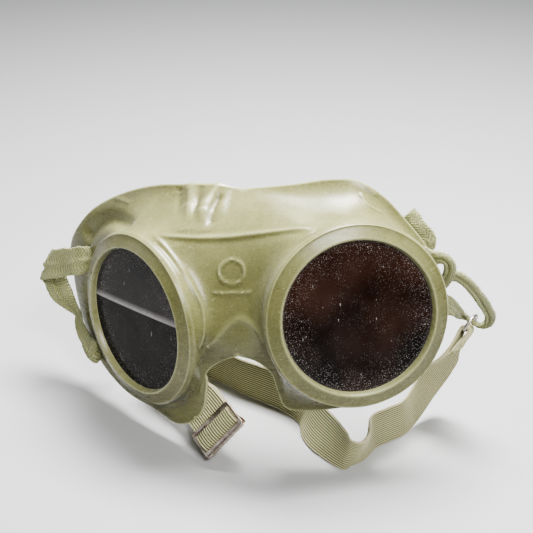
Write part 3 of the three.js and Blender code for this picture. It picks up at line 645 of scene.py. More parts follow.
def relax(skirts):
    """Evens out the surface at the middle of the brow, down past the crest, and over the nose."""
    last = DEPTH_STEPS
    count = len(skirts[1])
    column = np.arange(count)
    brow = np.maximum(smooth(*EVEN_BROW, column), smooth(*EVEN_CREST, count - column))
    before, after = EVEN_NOSE
    nose = smooth(*before, EDGE_STEPS - column) * smooth(*after, column - EDGE_STEPS)
    share = 0.5 * np.maximum(brow, nose)[:, None]
    middle = np.arange(EDGE_STEPS + 1, count)
    for _ in range(EVEN_ROUNDS):
        fresh = {}
        for side, grid in skirts.items():
            around = np.roll(grid, 1, 0) + np.roll(grid, -1, 0)
            mean = (around[:, 1:-1] + grid[:, 2:] + grid[:, :-2]) / 4
            fresh[side] = grid.copy()
            fresh[side][:, 1:-1] += share[:, None] * (mean - grid[:, 1:-1])
        seam = skirts[1][:, last]
        ends = seam[middle - 1] + seam[(middle + 1) % count]
        mean = (ends + skirts[1][middle, last - 1] + skirts[-1][middle, last - 1]) / 4
        moved = seam[middle] + share[middle] * (mean - seam[middle])
        moved[:, 0] = 0
        for side in fresh:
            fresh[side][middle, last] = moved
        skirts = fresh
    return skirts


def skirt_normals(side, skirt):
    """Outward normals, the same on the middle line for both sides."""
    around = np.roll(skirt, -1, 0) - np.roll(skirt, 1, 0)
    depth = np.gradient(skirt, axis=1)
    normal = unit(np.cross(around, depth) * side + 1e-12)
    last = skirt[:, -1]
    count = len(skirt)
    for i in [0, *range(EDGE_STEPS, count)]:
        above = last[0] if i == 0 else last[(i + 1) % count]
        below = last[i] if i == EDGE_STEPS else last[(i + count - 1) % count]
        up = above - below
        normal[i, -1] = unit(np.array([0, -up[2], up[1]]))
    return normal


def relief(points, normals):
    """How far each point of the outer surface is raised by the moulded lines and swellings."""
    flat = points.reshape(-1, 3)
    facing = normals.reshape(-1, 3)
    raised = np.zeros(len(flat))
    for height, width, fading, line in RIDGES:
        path = through(table(line), 0.4)
        reach = 3 * width + 1
        inside = (flat > path.min(0) - reach) & (flat < path.max(0) + reach)
        near = np.nonzero(np.all(inside, axis=1))[0]
        apart = flat[near, None] - path[None]
        off = OFF_SURFACE * np.einsum("ijk,ik->ij", apart, facing[near])
        gap = np.linalg.norm(apart - off[:, :, None] * facing[near, None], axis=2)
        at = gap.argmin(1) / (len(path) - 1)
        if fading == "both":
            height = height * smooth(0, 0.14, at) * smooth(1, 0.86, at)
        elif fading == "end":
            height = height * smooth(1, 0.4, at)
        raised[near] += height * np.exp(-((gap.min(1) / width) ** 2))
    for height, radius, centre in SWELLINGS:
        gap = np.linalg.norm(flat - centre, axis=1)
        raised += height * np.exp(-((gap / radius) ** 2))
    return raised.reshape(points.shape[:2])


def evened(field, rounds):
    """A field of directions, averaged with its neighbours."""
    for _ in range(rounds):
        wide = np.concatenate([field[:, :1], field, field[:, -1:]], 1)
        field = (np.roll(field, 1, 0) + np.roll(field, -1, 0) + wide[:, 2:] + wide[:, :-2]) / 4
    return unit(field)


def mask_side(side, spoke, skirt):
    """The rim, the outer surface and the inner surface of one side, as grids of points."""
    centre, axis, _ = eye_frame(side)
    normal = skirt_normals(side, skirt)
    settle = smooth(0, LIFT_FULL, np.linspace(0, 1, DEPTH_STEPS + 1))
    lift = evened(normal, LIFT_ROUNDS)
    seam = [0, *range(EDGE_STEPS + 1, len(skirt))]
    lift[seam, -1] = normal[seam, -1]
    outer = skirt + lift * (relief(skirt, lift) * settle)[:, :, None]
    radius, forward = np.array(RIM_PROFILE).T
    rim = centre + spoke[:, None] * radius[None, :, None] + axis * forward[None, :, None]
    to_edge = np.linalg.norm(skirt - skirt[:, -1:], axis=2)
    thin = smooth(0, THICKENS_OVER, to_edge)
    thin[EDGE_STEPS + 1 :] = 1
    thick = EDGE_THICK + (RUBBER_THICK - EDGE_THICK) * thin
    under = (skirt - normal * thick[:, :, None])[:, ::-1][:, :-4:INNER_STRIDE]
    ahead = (under - centre) @ axis
    out = np.linalg.norm(under - centre - ahead[:, :, None] * axis, axis=2)
    push = np.where(out < SEAT_RADIUS, np.maximum(0, ahead + SEAT_BACK), 0)
    return rim, outer, under - axis * push[:, :, None]


def lip(outer, under, tangent):
    """Two points that round the free edge between the outer and the inner surface."""
    across = outer - under
    away = unit(np.cross(tangent, across))
    reach = away * np.linalg.norm(across, axis=1, keepdims=True) / 2 * LIP_OUT
    points = [(outer + under) / 2 + across * c + reach for c in (LIP_ACROSS, -LIP_ACROSS)]
    return np.stack(points, 1)


def rubber_mask():
    parts = []
    sides = {side: skirt_side(side) for side in (-1, 1)}
    skirts = relax({side: skirt for side, (_, skirt) in sides.items()})
    for side, (spoke, _) in sides.items():
        rim, outer, under = mask_side(side, spoke, skirts[side])
        count = len(outer)
        end = outer[:, -1]
        tangent = unit(np.roll(end, -1, 0) - np.roll(end, 1, 0)) * side
        tangent[[0, EDGE_STEPS]] = [[1, 0, 0], [-1, 0, 0]]
        edge = lip(end, under[:, 0], -tangent)
        main = np.concatenate([rim, outer], 1)
        rows = main.shape[1]
        inner = under.shape[1]
        points = np.vstack([grid.reshape(-1, 3) for grid in (main, edge, under)])
        first_edge, first_under = count * rows, count * (rows + 2)
        faces = grid_faces(count, rows, close_rows=True, close_columns=False)
        faces += grid_faces(count, inner, close_rows=True, close_columns=False, first=first_under)
        for i in range(count):
            n = (i + 1) % count
            seat = first_under + inner - 1
            faces.append([i * rows, n * rows, seat + n * inner, seat + i * inner])
            if i >= EDGE_STEPS:
                continue
            a, b = i * rows + rows - 1, n * rows + rows - 1
            c, d = first_edge + 2 * i, first_edge + 2 * n
            e, g = first_under + i * inner, first_under + n * inner
            faces += [[a, b, d, c], [c, d, d + 1, c + 1], [c + 1, d + 1, g, e]]
        parts.append((points, faces))
    points, faces = joined(parts)
    solid = ["rubber_mask"]
    mask = build("moulded_mask", from_goggles(points), faces, "mask", RUBBER, solid)
    cut_slots(mask)


# ---- Slots for the tapes ----
SLOT_DEEP = 8
SLOT_WIDE = 3.8
SLOT_CORNER = 1.2
# Middle, facing and lean in degrees, height.
SLOTS = [
    ((65.4, 26.3, 15.5), 0, 26, 12.6),
    ((69.3, 27, -3.4), 12, 0, 12.6),
    ((-75.9, 26.5, 19.3), 238, 0, 12.6),
    ((-75.8, 24.9, -18), 250, 0, 9.6),
]


def slot_block(at, facing, lean, height):
    """A block with round corners that cuts one slot."""
    outline = rounded(SLOT_WIDE / 2, height / 2, SLOT_CORNER, 5)
    ends = [[(x, y, z) for y, z in outline] for x in (-SLOT_DEEP / 2, SLOT_DEEP / 2)]
    count = len(outline)
    faces = grid_faces(2, count) + [list(range(count)), list(range(count, 2 * count))]
    turn = turn_z(math.radians(facing)) @ turn_y(-math.radians(lean))
    return np.array(ends).reshape(-1, 3) @ turn.T + at, faces


def cut_slots(mask):
    points, faces = joined([slot_block(*slot) for slot in SLOTS])
    mesh = bpy.data.meshes.new("slots")
    mesh.from_pydata((from_goggles(points) * MM).tolist(), [], faces)
    cutter = linked("slots", mesh)
    soften(cutter, 1)
    cut = mask.modifiers.new("slots", "BOOLEAN")
    cut.operation = "DIFFERENCE"
    cut.solver = "EXACT"
    cut.object = cutter
    graph = bpy.context.evaluated_depsgraph_get()
    done = bpy.data.meshes.new_from_object(mask.evaluated_get(graph))
    mask.modifiers.clear()
    mask.data = done
    bpy.data.objects.remove(cutter)


# ---- Glasses ----
# From the middle of the front face out to the edge: radius, how far back.
GLASS_PROFILE = [
    (0, 0), (10, 0), (20, 0), (27, 0), (30.4, 0), (30.9, 0.1), (31.15, 0.35), (31.2, 0.7)
]
GLASS_SIDES = 128


def glass(side, name, material):
    front = [(r, GLASS_FRONT - d) for r, d in GLASS_PROFILE]
    rows = front + [(r, 2 * GLASS_FRONT - GLASS_THICK - f) for r, f in reversed(front)]
    centre, axis, out = eye_frame(side)
    a = np.linspace(0, 2 * np.pi, GLASS_SIDES, endpoint=False)
    spoke = out * np.cos(a)[:, None] * side + np.array([0, 0, 1]) * np.sin(a)[:, None]
    r, f = np.array(rows).T
    points = centre + spoke[None] * r[:, None, None] + axis * f[:, None, None]
    flat = np.stack([np.cos(a), np.sin(a)], 1)[None] * (r / GLASS_RADIUS)[:, None, None]
    faces = grid_faces(len(rows), GLASS_SIDES)
    build(name + "_dark_glass", from_goggles(points.reshape(-1, 3)), faces, "mask",
          material, [name + "_lens"], uv=flat.reshape(-1, 2), sharp=60)


# ---- Bands ----
def band_frames(rows, step, skewed=False):
    """Frames along a band, about one every step. A skewed band folds on lines that slant across it."""
    rows = np.array(rows, float)
    u = spaced(rows[:, :3], step)
    point, along = catmull(rows[:, :3], u)
    across, _ = catmull(unit(rows[:, 3:6]), u)
    k = np.arange(len(rows))
    width, thick = (np.interp(u, k, rows[:, c]) for c in (6, 7))
    along = unit(along)
    across = unit(across)
    if not skewed:
        across = unit(across - along * np.sum(across * along, 1, keepdims=True))
    travel = np.concatenate([[0], np.cumsum(np.linalg.norm(np.diff(point, axis=0), axis=1))])
    return {"point": point, "along": along, "across": across, "face": unit(np.cross(along, across)),
            "width": width, "thick": thick, "travel": travel}


def swept(frames, across, off):
    """Sweeps sections, given as offsets (frames, points) across and off the band, into a solid."""
    points = (frames["point"][:, None] + frames["across"][:, None] * across[:, :, None]
              + frames["face"][:, None] * off[:, :, None])
    rows, count = across.shape
    faces = grid_faces(rows, count)
    faces += [list(range(count)), [(rows - 1) * count + i for i in range(count)]]
    return points.reshape(-1, 3), faces


def wobble(travel, amount, pitch, seed):
    """A smooth, repeatable unevenness along a band."""
    local = np.random.default_rng(seed)
    knots = np.arange(travel[0] - pitch, travel[-1] + 2 * pitch, pitch)
    values = local.uniform(-amount, amount, len(knots))
    k = (travel - knots[0]) / pitch
    i = k.astype(int)
    t = k - i
    t = t * t * (3 - 2 * t)
    return values[i] * (1 - t) + values[i + 1] * t


TAPE_POINTS = 56
TAPE_STEP = 0.45
# A tape is flat above this ratio of width to thickness and a folded strand below the second.
FLAT_RATIO = 5.5
STRAND_RATIO = 2.4
RIB_HEIGHT = 0.09
RIB_PITCH = 1.35
TAPE_FUZZ = 0.085
FIBRES = 420
FIBRE_RADIUS = 0.035
RING_CLEARANCE = 7.5


def bump_at(a, middle, width):
    return np.exp(-(((a - middle) / width) ** 2))


def tape(side, rows, seed, skewed=False, crease=0.0):
    """A cotton tape, flat where it is wide and folded lengthwise into a strand where it is narrow."""
    f = band_frames(rows, TAPE_STEP, skewed)
    folded = smooth(FLAT_RATIO, STRAND_RATIO, f["width"] / f["thick"])[:, None]
    a = np.linspace(0, 2 * np.pi, TAPE_POINTS, endpoint=False)[None]
    power = 7 - 4.6 * folded
    across = np.broadcast_to(np.cos(a), (len(folded), TAPE_POINTS))
    off = np.sign(np.sin(a)) * (1 - np.abs(across) ** power) ** (1 / power)
    groove = 1 - 0.75 * folded * bump_at(a, np.pi / 2 + 0.25, 0.28)
    groove -= 0.6 * folded * bump_at(a, 3 * np.pi / 2, 0.28)
    along = f["travel"][:, None]
    ribs = RIB_HEIGHT * np.sin(2 * np.pi * along / RIB_PITCH + 9 * np.abs(across))
    fuzz = TAPE_FUZZ * np.random.default_rng(seed).standard_normal(across.shape)
    wide = f["width"][:, None] / 2 * (1 + wobble(f["travel"], 0.07, 3, seed)[:, None])
    sag = wobble(f["travel"], 0.5, 2.6, seed + 1)[:, None] * np.cos(2.2 * across)
    sag = sag + crease * (bump_at(across, -0.3, 0.13) - 0.6 * bump_at(across, -0.02, 0.2))
    z = off * (f["thick"][:, None] / 2 * groove + ribs + fuzz) + sag * (1 - folded)
    points, faces = swept(f, across * (wide + fuzz), z)
    flat = np.stack([(across + 1) / 2 * TAPE_WIDTH, np.broadcast_to(along, across.shape)], 2)
    body = side + "_bridle"
    build(body, from_goggles(points), faces, body, COTTON, [body + "_tape"],
          uv=flat.reshape(-1, 2), sharp=80)
    loose_fibres(body, points, faces, seed)


def stray(root, way, bend, steps):
    """The path of a bent loose thread."""
    t = np.linspace(0, 1, steps)[:, None]
    return root + way * t + bend * t**2


def loose_fibres(body, points, faces, seed):
    """Short fibres that stand off a worn tape, but for a clear space round the wire ring."""
    local = np.random.default_rng(seed)
    ring = from_table(RING_END.at(-RING_OFFSET, 0, 0))
    fibres = []
    for quad in local.choice(len(faces) - 2, FIBRES, replace=False):
        a, b, _, d = points[faces[quad]]
        out = unit(np.cross(d - a, b - a))
        way = unit(out * local.uniform(0.4, 1.2) + local.normal(0, 0.8, 3))
        bend = local.normal(0, 0.7, 3)
        reach = local.uniform(0.5, 1.5)
        path = stray(a, way * reach, bend * reach * 0.4, 4)
        if np.linalg.norm(from_goggles(path) - ring, axis=1).min() > RING_CLEARANCE:
            fibres.append(tube(path, FIBRE_RADIUS, sides=4))
    tubes, quads = joined(fibres)
    build(body + "_fibres", from_goggles(tubes), quads, body, THREAD)


RIGHT_UPPER, RIGHT_LOWER, LEFT_UPPER, LEFT_LOWER = (list(s[0]) for s in SLOTS)
RIGHT_BRIDLE = stations(TAPE_WIDTH, TAPE_THICK, [
    *table("""
        58.6 33.2 30.6 0.75 0.45 0.48 11 3.2; 62.3 34 24.8 0.75 0.45 0.48 11 3.2;
        64.6 35 20 0.65 0.4 0.65 11 2.6; 62.4 33.2 16.2 0.15 0.2 0.97; 60.6 29 14.2 -0.4 0 0.92;
        62.3 26.6 14 -0.44 0 0.9
    """),
    [*RIGHT_UPPER, -0.44, 0, 0.9],
    *table("""
        69.1 25.6 15.5 -0.2 0 0.98 8 1.8; 72.4 24.6 16.1 0.05 0 1 4.8 2.6;
        75.3 24.4 15.3 0.5 0 0.87 4.4 2.8; 76.8 24.6 12.6 0.97 0 0.25 4.4 2.8;
        75.9 25.0 9.0 0.95 0 -0.3 4.4 2.8; 73.4 26.0 5.6 0.8 0 -0.6 4.4 2.6;
        71.2 28.0 3.9 0.7 0.6 -0.4 4.2 2.4; 71.9 30.0 5.2 0.3 0.6 0.74 4.2 2.4;
        74.7 30.0 6.9 0.15 0.3 0.94 4.2 2.6; 78.1 29.6 7.3 0.5 0.2 0.84 4.2 2.8;
        81.8 30.5 4.4 0.72 0.2 0.66 4.4 3.0; 85.1 33.2 -1.2 0.78 0.15 0.6 4.4 3.0;
        87.4 36.8 -7 0.9 -0.1 0.4 4.5 3; 88.6 40 -12.4 0.98 0.1 -0.1 4.4 2.8;
        86.8 42 -16 0.7 0.5 -0.5 3.8 2.6; 83.6 42.9 -16.9 0.3 0.9 -0.4 3 2.2;
        80.8 43.6 -15.3 0.13 0.97 -0.23 3 2.2; 78.3 43.9 -13.6 -0.2 0.9 -0.35 3.2 2.4;
        76.9 40.6 -11.8 -0.7 0.3 -0.6 3.8 2.5; 77 34 -8.6 -0.5 -0.2 -0.84 4.6 2.5;
        75.2 29.4 -5 -0.1 -0.2 -0.97 7 1.8; 72.6 27.7 -3.8 0 0 -1 9.5
    """),
    [*RIGHT_LOWER, 0, 0, -1],
    *table("""
        66.3 26.4 -3.3 0 0 -1; 63 25.7 -3.2 0 0 -1
    """),
])
LEFT_BRIDLE = stations(TAPE_WIDTH, TAPE_THICK, [
    *table("""
        -72.1 32 19 0 0 1; -73.9 29.4 19.1 0 0 1
    """),
    [*LEFT_UPPER, 0, 0, 1],
    *table("""
        -78.4 23.3 19.6 0.1 0 1; -80.56 22.4 19.51 0.16 0 0.99 12.6 1.4;
        -87.18 23.3 18.8 0.21 -0.02 0.98 12.84 1.4; -95.64 24.6 17.78 0.53 -0.03 0.85 15.89 1.4;
        -98.47 26.6 17.23 0.53 -0.02 0.85 16.75 1.4; -98.29 28.75 15.21 0.51 -0.02 0.86 16.33 1.5;
        -95.97 29.3 6.55 0.73 -0.02 0.69 12.39 2; -92.95 29 1.36 0.72 0 0.69 9.03 2.4;
        -90.05 28.6 -2.65 0.77 0 0.64 5.6 2.5; -87.63 28.2 -5.75 0.81 0 0.58 3.09 2.2;
        -87.56 27.6 -8.76 0.97 0 0.22 3.94 2; -86.05 26.5 -12.88 0.99 -0.04 0.14 5.19 1.8;
        -82.99 24.3 -16.98 0.83 -0.09 0.54 6.63 1.6; -80.31 22.1 -19.57 0.44 -0.04 0.9 9.77 1.4;
        -77.25 20.8 -20.49 0.21 -0.02 0.98 10.73 1.4
    """),
    [*LEFT_LOWER, 0, 0, 1, 8.4],
    *table("""
        -74.6 28.3 -17.9 0 0 1 8; -73.4 31.4 -17.8 0 0 1 8
    """),
])


# ---- Elastic's ends and the wire fittings, in the frame of the table ----
class Fitting:
    """The middle of a wire fitting's bar, the direction back along the elastic, the bar's direction."""

    def __init__(self, bar, towards, across):
        self.bar = np.array(bar, float)
        self.side = unit(np.array(across, float))
        back = np.array(towards, float)
        self.back = unit(back - self.side * (back @ self.side))
        self.normal = np.cross(self.side, self.back)

    def at(self, along, across, off):
        along, across, off = (np.asarray(v, float)[..., None] for v in (along, across, off))
        return self.bar + self.back * along + self.side * across + self.normal * off


RING_RADIUS = 4.6
RING_OFFSET = 2.3
RING_END = Fitting((82, 38.2, 43.9), (-0.35, -0.05, -0.93), (-0.2, -0.9, 0.4))
HOOK_END = Fitting((-32.4, 16.8, 11.3), (0.62, -0.78, 0), (0, 0, 1))
TURN_RADIUS = 1.7
TAIL_LENGTH = 9
SEAM_OFFSET = 0.95
TURN = np.stack([turn(np.radians([90, 135, 180, 225, 270])) for turn in (np.cos, np.sin)], 1)


def end_turn(end):
    """Rows of the elastic round a fitting's bar, sewn to itself, from the outer layer on."""

    def row(along, off, width):
        return [*end.at(along, 0, off), *end.side, width]

    half_way = TAIL_LENGTH / 2
    return [
        row(TAIL_LENGTH, SEAM_OFFSET, 13),
        row(half_way, SEAM_OFFSET + 0.2, 9.6),
        *(row(*TURN_RADIUS * direction, GATHERED_WIDTH) for direction in TURN),
        row(half_way, -SEAM_OFFSET - 0.2, 9.6),
        row(TAIL_LENGTH, -SEAM_OFFSET, 13),
    ]


# ---- Slider: centre of the plate's back face, long direction, direction along the elastic ----
SLIDER_AT = np.array([-6.94, -12.12, 11.3])
SLIDER_LONG = np.array([0.5978, 0.4189, 0.6834])
SLIDER_ALONG = np.array([-0.7408, 0.6146, 0.2713])
SLIDER_NORMAL = np.cross(SLIDER_LONG, SLIDER_ALONG)
SLIDER_SIZE = {"long": 20.6, "wide": 13.2, "thick": 1.3, "corner": 1.4}
WINDOW = {"long": 18.3, "wide": 8.4, "off": 0.3, "corner": 0.8}
SLIDER_BAR = {"radius": 0.5, "along": -3.4, "below": 2.3}
LAYER_GAP = 0.4


def on_slider(long, along, off):
    long, along, off = (np.asarray(v, float)[..., None] for v in (long, along, off))
    return SLIDER_AT + SLIDER_LONG * long + SLIDER_ALONG * along + SLIDER_NORMAL * off


def slider_turn():
    """Rows of the elastic in under the slider's plate, round its bar and out again."""
    upper = -LAYER_GAP - ELASTIC_THICK / 2
    radius = upper + SLIDER_BAR["below"]

    def row(along, off):
        return [*on_slider(0, along, off), *SLIDER_LONG]

    reach = (11, 6, 1)
    return [
        *(row(v, upper) for v in reach),
        *(row(SLIDER_BAR["along"] + radius * x, radius * y - SLIDER_BAR["below"]) for x, y in TURN),
        *(row(v, upper - 2 * radius) for v in reversed(reach)),
    ]


# ---- Elastic headband ----
HEADBAND_DROP = table("""
    74.9 37 29.8 -0.32 -0.75 0.58 15; 72 38 23.4 -0.38 -0.6 0.72; 68.3 35.9 16.1 -0.3 -0.4 0.87;
    64.3 27.9 9.9 -0.2 -0.25 0.95
""")
HEADBAND_STANDING = table("""
    61.3 20.4 -0.12 -0.15 0.98; 56.8 14.4 -0.08 -0.1 0.99; 51.8 7.5 -0.09 -0.1 0.99;
    50.2 -3.2 0.19 -0.26 0.95; 47.9 -7.7 0.28 -0.29 0.91; 45.3 -8.5 0.29 -0.2 0.93;
    41.7 -6.2 0.25 0 0.97; 35.4 -0.5 0.33 0.2 0.92; 30 4.6 0.3 0.38 0.87; 25.4 10.1 0.2 0.42 0.88;
    20 18 0.05 0.25 0.96; 11 23.5 0 0.12 0.99; -0.7 27.5 0 0.05 1; -11.8 31 0 0 1; -22 36 0 0 1;
    -33 39 0 0 1; -44 36.5 0 0 1; -50 27 0 0 1
""")
HEADBAND_RISE = table("""
    -46 16.5 10 0.1 0 0.99; -36 9.5 12.2 0.28 0.14 0.95; -26 4 14 0.45 0.28 0.84;
    -20 0.2 14 0.55 0.36 0.75
""")
HEADBAND_RETURN = [
    [-18.2, 2.2, 12, 0.52, 0.36, 0.77],
    [-22.8, 7.2, 11.8, 0.3, 0.2, 0.93, 15],
]


def standing(x, y, *across):
    """A row where the band stands on its edge on the table."""
    upright = across[2] / math.hypot(*across)
    lean = math.sqrt(1 - upright * upright)
    return [x, y, (ELASTIC_WIDTH * upright + ELASTIC_THICK * lean) / 2, *across]


HEADBAND = stations(ELASTIC_WIDTH, ELASTIC_THICK, [
    *end_turn(RING_END),
    *HEADBAND_DROP,
    *(standing(*row) for row in HEADBAND_STANDING),
    *HEADBAND_RISE,
    *slider_turn(),
    *HEADBAND_RETURN,
    *reversed(end_turn(HOOK_END)),
])
RIB_POINTS = 6
RIB_DEPTH = 0.42
RIB_POWER = 0.9
SELVEDGE = 0.025


def ribbed_section(frames):
    """Sections of the elastic: rounded ribs on both faces and a thin selvedge at each edge."""
    across = np.linspace(0, 1, RIBS * RIB_POINTS + 1)
    rib = np.abs(np.sin(np.pi * RIBS * across)) ** RIB_POWER
    full = smooth(0, SELVEDGE, across) * smooth(1, 1 - SELVEDGE, across)
    half = frames["thick"][:, None] / 2
    top = half * (0.4 + 0.6 * full) - RIB_DEPTH * (1 - rib) * full
    x = (across - 0.5)[None] * frames["width"][:, None]
    sections = np.concatenate([x, x[:, ::-1]], 1), np.concatenate([top, -top[:, ::-1]], 1)
    return *sections, np.concatenate([across, across[::-1]])


def elastic(name, rows, body, replaces=(), step=0.8):
    f = band_frames(rows, step)
    x, z, share = ribbed_section(f)
    points, faces = swept(f, x, z)
    along = f["travel"][:, None]
    flat = np.stack([np.broadcast_to(share, x.shape), np.broadcast_to(along, x.shape)], 2)
    build(name, from_table(points), faces, body, ELASTIC, replaces,
          uv=flat.reshape(-1, 2), sharp=75)


# The elastic that bulges up through the slider's window, a half turn from edge to edge.
BULGE = {"width": 17.6, "reach": 3.6, "middle": 0.3, "base": 0.35, "rise": 2.1}


def window_bulge():
    rows = []
    for a in np.radians(np.linspace(0, 180, 13)):
        along = BULGE["middle"] + BULGE["reach"] * math.cos(a)
        off = BULGE["base"] + BULGE["rise"] * math.sin(a) ** 0.8
        rows.append([*on_slider(0, along, off), *SLIDER_LONG])
    rows = stations(BULGE["width"], ELASTIC_THICK, rows)
    elastic("elastic_in_slider_window", rows, "slider", step=0.35)


# ---- Frayed end of the elastic ----
FRAY = {"threads": 46, "length": 3.2, "root": 1.2, "radius": 0.13}


def frayed_end(name, rows, body):
    f = band_frames(rows, 0.8)
    point, along, across, face, width, thick = (
        f[key][0] for key in ("point", "along", "across", "face", "width", "thick")
    )
    local = np.random.default_rng(SEED + 3)
    threads = []
    for _ in range(FRAY["threads"]):
        side = local.uniform(-0.47, 0.47) * width
        lift = local.uniform(-0.35, 0.35) * thick
        root = point + across * side + face * lift + along * FRAY["root"]
        away = unit(-along + local.normal(0, 0.28, 3))
        bend = local.normal(0, 0.35, 3)
        reach = local.uniform(0.5, 1.0) * FRAY["length"]
        threads.append(tube(stray(root, away * reach, bend * reach * 0.5, 6), FRAY["radius"], sides=5))
    points, faces = joined(threads)
    build(name, from_table(points), faces, body, THREAD)


# ---- Stitching ----
# The band that is sewn on each body, and its frame.
BANDS = {
    "right_bridle": (RIGHT_BRIDLE, from_goggles),
    "left_bridle": (LEFT_BRIDLE, from_goggles),
    "mask": (HEADBAND, from_table),
}
# Name, body, place on its band from 0 to 1, face of the band, length and width of the tack.
TACKS = [
    ("right_tab", "right_bridle", 0.03, -1, 1.4, 8),
    ("right_lower", "right_bridle", 0.98, 1, 1.4, 8),
    ("left_upper", "left_bridle", 0.2, 1, 1.4, 8),
    ("left_lower", "left_bridle", 0.81, 1, 1.2, 5),
    ("ring_end", "mask", 0.012, 1, 1.6, 6),
    ("hook_end", "mask", 0.99, -1, 1.6, 6),
]
STITCH = {"pitch": 0.62, "radius": 0.24, "proud": 0.3, "dip": 0.5}


def stitches(stem, body, t, face, along, across):
    """A bar tack: close stitches that dip into the band at both ends."""
    rows, place = BANDS[body]
    name = stem + "_stitches"
    u = np.array([t * (len(rows) - 1)])
    rows = np.array(rows, float)
    point, travel = (v[0] for v in catmull(rows[:, :3], u))
    travel = unit(travel)
    side = catmull(unit(rows[:, 3:6]), u)[0][0]
    side = unit(side - travel * (side @ travel))
    facing = np.cross(travel, side) * face
    thick = np.interp(u, np.arange(len(rows)), rows[:, 7])[0]
    local = np.random.default_rng(SEED + len(name))
    count = int(across / STITCH["pitch"])
    slant = 0.5 / count * across
    s = np.linspace(-1, 1, 9)[:, None]
    proud = thick / 2 + STITCH["proud"] - STITCH["dip"] * np.abs(s) ** 3
    threads = []
    for i in range(count):
        at = (i + 0.5) / count - 0.5
        long = along * local.uniform(0.9, 1.15) / 2
        path = point + travel * long * s + side * (at * across + slant * s) + facing * proud
        threads.append(tube(path, STITCH["radius"], sides=7))
    points, faces = joined(threads)
    build(name, place(points), faces, body, THREAD, [stem + "_stitching"])


# ---- Metal ----
# The rounded edge of the plate, from its back face to its front: inset, height.
PLATE_EDGE = [(0.45, 0), (0.12, 0.12), (0, 0.45), (0, 0.9), (0.12, 1.18), (0.42, 1.3)]
DENT = 0.06
LUG_HALF = 1.4
CORNER_POINTS = 9
SIDE_POINTS = 12


def rounded_loop(long, wide, off, corner):
    """A rectangle with round corners and extra points along its sides."""
    loop = [np.array(p) + (0, off) for p in rounded(long / 2, wide / 2, corner, CORNER_POINTS)]
    dense = []
    for i, (p, q) in enumerate(zip(loop, loop[1:] + loop[:1])):
        steps = SIDE_POINTS if (i + 1) % CORNER_POINTS == 0 else 1
        dense += [p + (q - p) * k / steps for k in range(steps)]
    return np.array(dense)


def slider_plate():
    s, w = SLIDER_SIZE, WINDOW
    loops = []
    for inset, off in PLATE_EDGE:
        loop = rounded_loop(s["long"] - 2 * inset, s["wide"] - 2 * inset, 0, s["corner"] - inset * 0.8)
        loops.append(np.column_stack([loop, np.full(len(loop), off)]))
    for inset, off in reversed(PLATE_EDGE):
        inset *= 0.8
        loop = rounded_loop(w["long"] + 2 * inset, w["wide"] + 2 * inset, w["off"], w["corner"] + inset)
        loops.append(np.column_stack([loop, np.full(len(loop), off)]))
    grid = np.array(loops)
    dent = DENT * np.sin(grid[..., 0] * 1.7 + grid[..., 1] * 0.9) * smooth(0, 1.3, grid[..., 2])
    grid[..., 2] -= np.abs(dent)
    plate = grid.reshape(-1, 3), grid_faces(*grid.shape[:2], close_rows=True)
    points, faces = joined([plate, lug(-1), lug(1)])
    placed = from_table(on_slider(*points.T))
    build("slider_plate", placed, faces, "slider", PLATE, ["slider_frame"], sharp=50)


def lug(end):
    """A tab folded down at the plate's end, with a rounded foot round the bar."""
    x = end * (SLIDER_SIZE["long"] / 2 - 0.55)
    middle, foot = SLIDER_BAR["along"], -SLIDER_BAR["below"]
    round_foot = np.radians((30, 60, 90, 120, 150))
    outline = [
        (middle - LUG_HALF, 0.5),
        (middle - LUG_HALF, foot),
        *((middle - LUG_HALF * math.cos(a), foot - math.sin(a)) for a in round_foot),
        (middle + LUG_HALF, foot),
        (middle + LUG_HALF, 0.5),
    ]
    loops = []
    for off, inset in ((-0.45, 0.15), (-0.3, 0), (0.3, 0), (0.45, 0.15)):
        narrow = 1 - inset / LUG_HALF
        loops += [(x + off, middle + (a - middle) * narrow, z + inset * (z < 0)) for a, z in outline]
    count = len(outline)
    faces = grid_faces(4, count) + [list(range(count)), [3 * count + i for i in range(count)]]
    return np.array(loops), faces


ARC_POINTS = 60
BAR_POINTS = 14
RING_ROUNDS = 6


def d_ring():
    """An arc and a straight bar, rounded where they meet."""
    half = math.acos(RING_OFFSET / RING_RADIUS)
    a = np.linspace(half, 2 * np.pi - half, ARC_POINTS)
    arc = np.stack([RING_RADIUS * np.cos(a) - RING_OFFSET, RING_RADIUS * np.sin(a)], 1)
    bar = np.linspace(arc[-1, 1], arc[0, 1], BAR_POINTS + 2)[1:-1]
    path = np.vstack([arc, np.stack([np.zeros(BAR_POINTS), bar], 1)])
    for _ in range(RING_ROUNDS):
        path = (np.roll(path, 1, 0) + 2 * path + np.roll(path, -1, 0)) / 4
    wire("round_wire_ring", RING_END.at(*path.T, np.zeros(len(path))), "ring", closed=True)


HOOK_PATH = np.array(table("""
    0 -4.2 0; 0 -1.5 0; 0 1.5 0; 0 4.2 0; -1.6 5 0; -4 3 0; -6.5 0.8 0; -9 0.4 0.3; -10.6 0.4 1.9;
    -10 0.4 4; -7.6 0.4 4.6
"""))


def bent_hook():
    wire("bent_wire_hook", through(HOOK_END.at(*HOOK_PATH.T), 0.35), "hook")


def wire(name, path, body, closed=False):
    points, faces = tube(path, WIRE_RADIUS, 14, closed)
    build(name, from_table(points), faces, body, WIRE, ["wire_" + body])


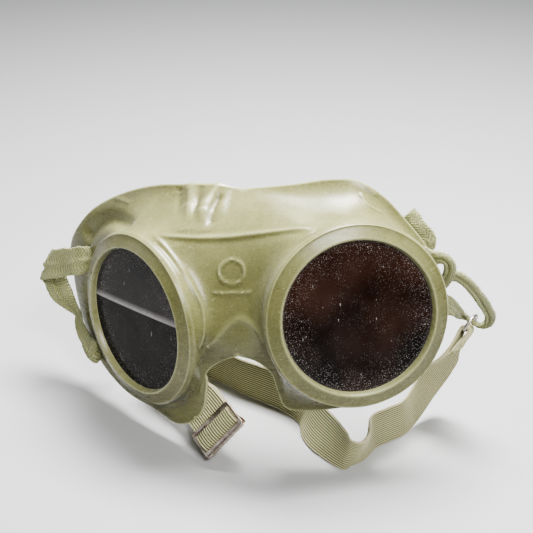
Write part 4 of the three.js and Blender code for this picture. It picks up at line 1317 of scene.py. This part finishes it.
# ---- Everything together ----
rubber_mask()
glass(1, "right", RIGHT_GLASS)
glass(-1, "left", LEFT_GLASS)
tape("right", RIGHT_BRIDLE, 11)
tape("left", LEFT_BRIDLE, 23, skewed=True, crease=0.9)
elastic("headband", HEADBAND, "mask", ["elastic_headband"])
window_bulge()
frayed_end("frayed_elastic_end", HEADBAND, "mask")
for tack in TACKS:
    stitches(*tack)
slider_plate()
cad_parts["slider_bar"].data.materials[0] = PLATE
d_ring()
bent_hook()


# ---- Floor, light and camera ----
FLOOR_HALF = 6
FLOOR_GREY = 0.5
MIDDLE = (0, 0, 0.06)
# Place in metres, width and height, watts.
LIGHTS = {
    "top_softbox": ((0.05, 0.2, 0.6), (0.4, 0.2), 12.5),
    "front_softbox": ((0.4, -0.5, 0.75), (0.35, 0.3), 8),
    "left_fill": ((-0.8, -0.2, 0.35), (0.4, 0.4), 0.6),
}
SKY = {"Color": (0.9, 0.93, 1, 1), "Strength": 0.12}
# The camera's place and target in metres, its lens in millimetres.
EYE = (0.11726, -0.35932, 0.27433)
TARGET = (0.01286, -0.00742, 0.07913)
LENS = 74.3


def floor():
    mesh = bpy.data.meshes.new("floor")
    corners = [(sx * FLOOR_HALF, sy * FLOOR_HALF, 0) for sx, sy in ((-1, -1), (1, -1), (1, 1), (-1, 1))]
    mesh.from_pydata(corners, [], [(0, 1, 2, 3)])
    finish = Finish("pale_floor", Roughness=0.7, Base_Color=(FLOOR_GREY, FLOOR_GREY, FLOOR_GREY, 1))
    mesh.materials.append(finish.material)
    linked("floor", mesh)


def aimed(name, data, at, target):
    """Puts a light or the camera at a place, turned to the target."""
    made = linked(name, data)
    made.location = at
    made.rotation_euler = (Vector(target) - Vector(at)).to_track_quat("-Z", "Y").to_euler()
    return made


floor()
for name, (at, size, watts) in LIGHTS.items():
    light = bpy.data.lights.new(name, "AREA")
    light.shape = "RECTANGLE"
    light.size, light.size_y = size
    light.energy = watts
    aimed(name, light, at, MIDDLE)
world = bpy.data.worlds.new("studio")
world.use_nodes = True
for key, value in SKY.items():
    world.node_tree.nodes["Background"].inputs[key].default_value = value
bpy.context.scene.world = world
bpy.context.scene.view_settings.look = "AgX - Medium High Contrast"
camera = bpy.data.cameras.new("camera")
camera.lens = LENS
camera.sensor_width = 36
camera.clip_start = 0.01
camera.clip_end = 50
bpy.context.scene.camera = aimed("camera", camera, EYE, TARGET)
